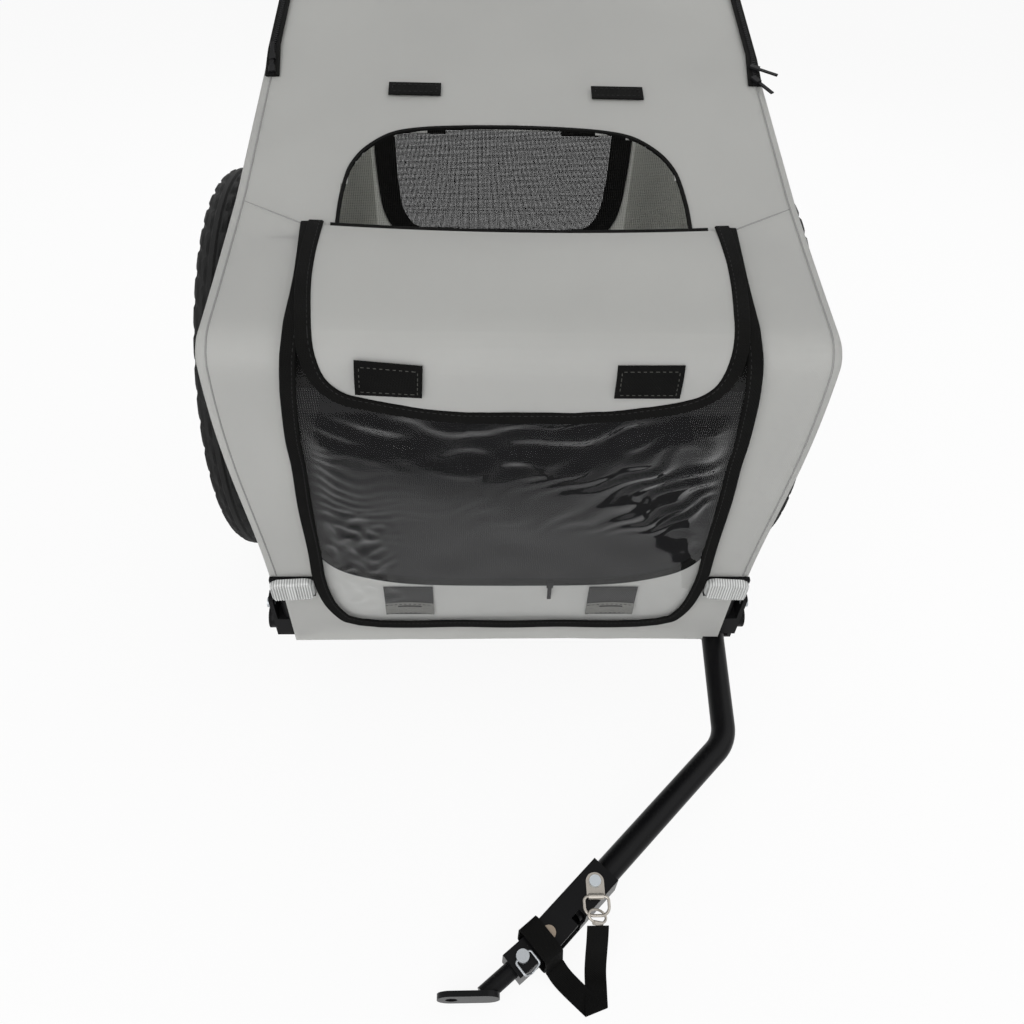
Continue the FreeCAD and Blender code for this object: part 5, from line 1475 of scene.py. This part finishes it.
def door_loops():
    """Two sewn patches, each with a band across its lower half, and a black strip under each band's arch as
    painted shade.
    """
    patches, bands, painted_shade_strips, threads = [], [], [], []
    middle = length_at_front((LOOP_LOW_Z + LOOP_HIGH_Z) / 2)
    size = (LOOP_WIDTH, LOOP_HIGH_Z - LOOP_LOW_Z)
    for x in (side * LOOP_X for side in SIDES):
        patches.append(patch_mesh(x, middle, size, LOOP_PATCH_LIFT, LOOP_PATCH_THICK))
        line = loop_line(x, 0, 0)
        bands.append(ribbon(line, [UPRIGHT] * len(line), LOOP_BAND, LOOP_BAND_THICK))
        line = loop_line(x, LOOP_BAND / 2 - LOOP_PAINTED_SHADE_DROP, LOOP_PAINTED_SHADE_LIFT)[slice(*LOOP_PAINTED_SHADE_SPAN)]
        painted_shade_strips.append(ribbon(line, [UPRIGHT] * len(line), LOOP_PAINTED_SHADE, LOOP_PAINTED_SHADE_THICK))
        for edge in SIDES:
            row = loop_line(x, edge * (LOOP_BAND / 2 - LOOP_THREAD_INSET), LOOP_THREAD_LIFT)
            row = resampled(row, int(LOOP_WIDTH / THREAD_STEP))
            threads += stitches(row, [OUT] * len(row))
    return [add_piece("loop_patches", patches, "dark_stitch", "chassis", ("door_loops",)),
            add_piece("loop_bands", bands, "grey_webbing", "chassis"),
            add_piece("loop_thread_and_painted_shade", painted_shade_strips + threads, "black_webbing", "chassis")]


def lens_mesh(side):
    """Moulded lens: rounded oblong, upright ribs either side of a plain band, tilted with the cloth."""
    columns, rows = LENS_STEPS
    side_slope, end_slope = LENS_RIM_SLOPES
    points = []
    for v in spread(-LENS_HEIGHT / 2, LENS_HEIGHT / 2, rows):
        over = max(abs(v) - (LENS_HEIGHT / 2 - LENS_ROUND), 0)
        reach = LENS_WIDTH / 2 - LENS_ROUND + math.sqrt(max(LENS_ROUND ** 2 - over ** 2, 0))
        for u in spread(-1, 1, columns):
            place = u * reach
            rim = min(1.0, (1 - abs(u)) * side_slope, (1 - abs(v) / (LENS_HEIGHT / 2)) * end_slope)
            wave = math.sin(2 * math.pi * place / RIB_PITCH) if abs(place) > PLAIN_HALF else 1
            depth = LENS_BACK + (LENS_FRONT - LENS_BACK) * math.sqrt(max(rim, 0)) + RIB_DEPTH * wave * rim
            points.append(Vector((side * REFLECTOR_X + place, FRONT_Y - depth,
                                  REFLECTOR_Z + v - side * LENS_TILT_SHARE * place)))
    return mesh_from(points, grid_faces(rows + 1, columns + 1))


def reflectors():
    meshes = [lens_mesh(side) for side in SIDES]
    add_piece("reflector_ribs", meshes, "clear_lens", "chassis", ("reflector_lenses",), folds=False,
              sharp=LENS_SHARP_ANGLE)


# Tyres

def tread_drop(step, angle):
    """Depth of the tread pattern: two chevron rows of blocks beside a centre rib."""
    angle = abs(angle)
    if angle > TREAD_ANGLE:
        return TREAD_DEPTH * SHOULDER_SHARE
    if angle < CROWN_ANGLE:
        return 0.0
    if any(low <= angle < high for low, high in GROOVE_ANGLES):
        return TREAD_DEPTH
    on_block = (step + int(angle / BLOCK_ANGLE)) % BLOCK_RUN < BLOCK_RUN - BLOCK_GAP
    return 0.0 if on_block else TREAD_DEPTH


def tyre(name, body, side):
    points = []
    for step in range(TYRE_STEPS):
        turn = 2 * math.pi * step / TYRE_STEPS
        for angle in spread(-SEAT_ANGLE, SEAT_ANGLE, SECTION_STEPS):
            reach = TYRE_R - tread_drop(step, angle)
            radius = WHEEL_R - TYRE_R + reach * math.cos(math.radians(angle))
            x = side * TRACK_HALF + reach * math.sin(math.radians(angle))
            points.append(Vector((x, radius * math.cos(turn), AXLE_Z + radius * math.sin(turn))))
    mesh = mesh_from(points, grid_faces(TYRE_STEPS, SECTION_STEPS + 1, loop=True))
    add_piece(name + "_tread", [mesh], "tyre_rubber", body, (name,), folds=False, sharp=TYRE_SHARP_ANGLE)


# Safety strap

def ground(x, y, rise):
    """Level point at a height over the ground that the lowered nose rests on."""
    return Vector((x, y, (rise - to_world((x, y, 0)).z / MM) / UP.z))


def socket_loop(middle):
    """Places round the hitch socket, in a rounded oblong."""
    corners = [Vector((aside * SOCKET_LOOP_HALF, rise, 0))
               for aside, rise in ((1, SOCKET_LOOP_TOP), (-1, SOCKET_LOOP_TOP), (-1, -SOCKET_LOOP_UNDER),
                                   (1, -SOCKET_LOOP_UNDER))]
    loop = []
    for index, corner in enumerate(corners):
        following = corners[(index + 1) % len(corners)]
        loop += arc_points(corners[index - 1], corner, following, SOCKET_LOOP_R, SOCKET_LOOP_STEPS)
    return [middle + SOCKET_ASIDE * point.x + UPRIGHT * point.y for point in loop]


def wide_ribbon(centres, across):
    """Strap along centres; the length of an across vector widens it, as at a slanted fold."""
    rings = []
    for index, centre in enumerate(centres):
        normal = across[index].cross(run_at(centres, index)).normalized() * (STRAP_THICK / 2)
        row = [centre + across[index] * (u * STRAP_WIDTH) for u in STRAP_COLUMN_SHARES]
        rings.append([point + normal for point in row] + [point - normal for point in reversed(row)])
    return lofted(rings)


def safety_strap():
    """Webbing down from the snap, folded on the ground and led back up round the hitch socket."""
    fold, under = (ground(*STRAP_FOLD, rise) for rise in STRAP_FOLD_RISES)
    lip = STRAP_LIP + SOCKET_ASIDE * STRAP_LIP_GAP - UPRIGHT * STRAP_LIP_DROP
    middle = STRAP_LIP - SOCKET_ASIDE * SOCKET_HALF
    end = middle + SOCKET_ASIDE * (SOCKET_LOOP_HALF + STRAP_END_GAP) + UPRIGHT * STRAP_END_RISE
    down = [STRAP_START, STRAP_START + STRAP_BEND, *(ground(*spot) for spot in STRAP_DOWN), fold]
    down = smooth_curve(down, STRAP_STEPS)
    back = smooth_curve([under, *(ground(*spot) for spot in STRAP_BACK), lip], STRAP_STEPS)
    first, second = (down[-1] - down[-2]).normalized(), (back[1] - back[0]).normalized()
    crease = (first + second).normalized()
    slant = crease / first.cross(crease).length
    down_across = [ACROSS.lerp(-slant, share ** STRAP_FOLD_POWER) for share in spread(0, 1, len(down) - 1)]
    back += socket_loop(middle) + [end]
    back_across = [SOCKET_RUN.lerp(slant, max(0.0, 1 - k / STRAP_FOLD_ROWS)) for k in range(len(back))]
    meshes = [wide_ribbon(down, down_across), wide_ribbon(back, back_across)]
    strap = smooth_object("strap", meshes, "black_webbing", STRAP_SHARP_ANGLE)
    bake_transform(strap)
    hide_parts("safety_strap")


# Linings

def in_lining_cut(place):
    """Is a place round a post or an axle receiver?"""
    at_post = place.y < FRONT_Y + LINING_POST_RUN or place.y > REAR_Y - LINING_POST_RUN
    return abs(place.x) > LINING_POST_X and (at_post or abs(place.y) < LINING_AXLE_HALF)


def floor_lining():
    """Coated cloth laid on the floor board out to the side cloth, cut round the posts and axle receivers. Its
    near-black colour is painted shade of the closed cabin.
    """
    columns, rows = LINING_STEPS
    points = []
    for y in spread(FRONT_Y + LINING_END_GAP, REAR_Y - LINING_END_GAP, rows):
        points += [Vector((x, y, LINING_Z + ripple((x, y, 0)) * LINING_RIPPLE_SHARE))
                   for x in spread(-LINING_HALF, LINING_HALF, columns)]
    mesh = cut(mesh_from(points, grid_faces(rows + 1, columns + 1)), in_lining_cut)
    mesh = thickened(mesh, CLOTH_THICK)
    add_piece("floor_lining", [mesh], "floor_sheet", "chassis", folds=False)


def corner_linings():
    """Cloth sewn across both rear corners, before the posts. Its near-white colour, far paler than the cover's
    cloth, is painted light in the shaded corners.
    """
    columns, rows = CORNER_STEPS
    meshes = []
    for side in SIDES:
        points = []
        for z in spread(CORNER_LOW_Z, CORNER_HIGH_Z, rows):
            for share in spread(0, 1, columns):
                x = half_width(z) - CORNER_INSET - CORNER_ACROSS * share ** CORNER_POWER
                points.append(Vector((side * x, REAR_Y - CORNER_INSET - CORNER_AHEAD * (1 - share), z)))
        meshes.append(mesh_from(points, grid_faces(rows + 1, columns + 1)))
    add_piece("corner_linings", meshes, "lining_cloth", "chassis")


# Lights, floor and camera

def seen_plainly(tree):
    """One for rays from the camera, mirrored or through glass, zero for light on the object."""
    path = add_node(tree, "LightPath", {}).outputs
    direct = combined(tree, "MAXIMUM", path["Is Camera Ray"], path["Is Transmission Ray"])
    return combined(tree, "MAXIMUM", direct, path["Is Glossy Ray"])


def white_floor():
    """Pale floor. The camera sees it nearly plain white, with the soft shadow left faint."""
    material, tree, shader = new_material("floor_white", FLOOR_COLOUR, {"Roughness": FLOOR_ROUGH})
    white = add_node(tree, "Emission", {})
    mix_surface(tree, tree.nodes["Material Output"], mapped(tree, seen_plainly(tree), 0, FLOOR_WHITE_SHARE),
                shader.outputs["BSDF"], white.outputs["Emission"])
    return material


def build_stage():
    bpy.ops.mesh.primitive_plane_add(size=FLOOR_SIZE, location=(0, 0, 0))
    floor = bpy.context.object
    floor.name = "floor"
    floor.data.materials.append(white_floor())
    world = bpy.data.worlds.new("studio")
    bpy.context.scene.world = world
    world.use_nodes = True
    tree = world.node_tree
    set_inputs(tree, tree.nodes["Background"],
               {"Color": WHITE, "Strength": mapped(tree, seen_plainly(tree), WORLD_STRENGTH, 1.0)})
    for name, place, watts, size in LAMPS:
        lamp = bpy.data.lights.new(name, "AREA")
        lamp.energy = watts
        lamp.size = size
        light = bpy.data.objects.new(name, lamp)
        light.location = place
        light.rotation_euler = (-Vector(place)).to_track_quat("-Z", "Y").to_euler()
        bpy.context.collection.objects.link(light)


def build_camera():
    """The photograph's camera, fitted in the level frame and tipped with the trailer."""
    pitch, yaw, roll = (math.radians(v) for v in (CAMERA_PITCH, CAMERA_YAW, CAMERA_ROLL))
    turn = Matrix(((math.cos(yaw), math.sin(yaw), 0), (-math.sin(yaw), math.cos(yaw), 0), (0, 0, 1)))
    right = turn @ ACROSS
    down = turn @ Vector((0, -math.sin(pitch), -math.cos(pitch)))
    ahead = turn @ Vector((0, math.cos(pitch), -math.sin(pitch)))
    rolled_right = right * math.cos(roll) + down * math.sin(roll)
    rolled_down = down * math.cos(roll) - right * math.sin(roll)
    pose = Matrix((rolled_right, -rolled_down, -ahead)).transposed().to_4x4()
    data = bpy.data.cameras.new("camera")
    data.sensor_width = SENSOR_MM
    data.lens = SENSOR_MM * FOCAL_SHARE
    camera = bpy.data.objects.new("camera", data)
    camera.matrix_world = TIP @ Matrix.Translation(Vector(CAMERA_AT) * MM) @ pose
    bpy.context.collection.objects.link(camera)
    bpy.context.scene.camera = camera
    bpy.context.scene.view_settings.view_transform = "Standard"


paint_frame()
trailer_cover = cabin_cover()
front_door()
rear_door()
skylight()
rain_cover()
flap_pieces()
sewn_on_cover = seam_cords_painted_shade() + door_header() + skylight_hem() + roof_strips() + roof_zips() + door_loops()
reflectors()
safety_strap()
floor_lining()
corner_linings()
tyre("right_tyre", "right_wheel", -1)
tyre("left_tyre", "left_wheel", 1)
build_stage()
build_camera()
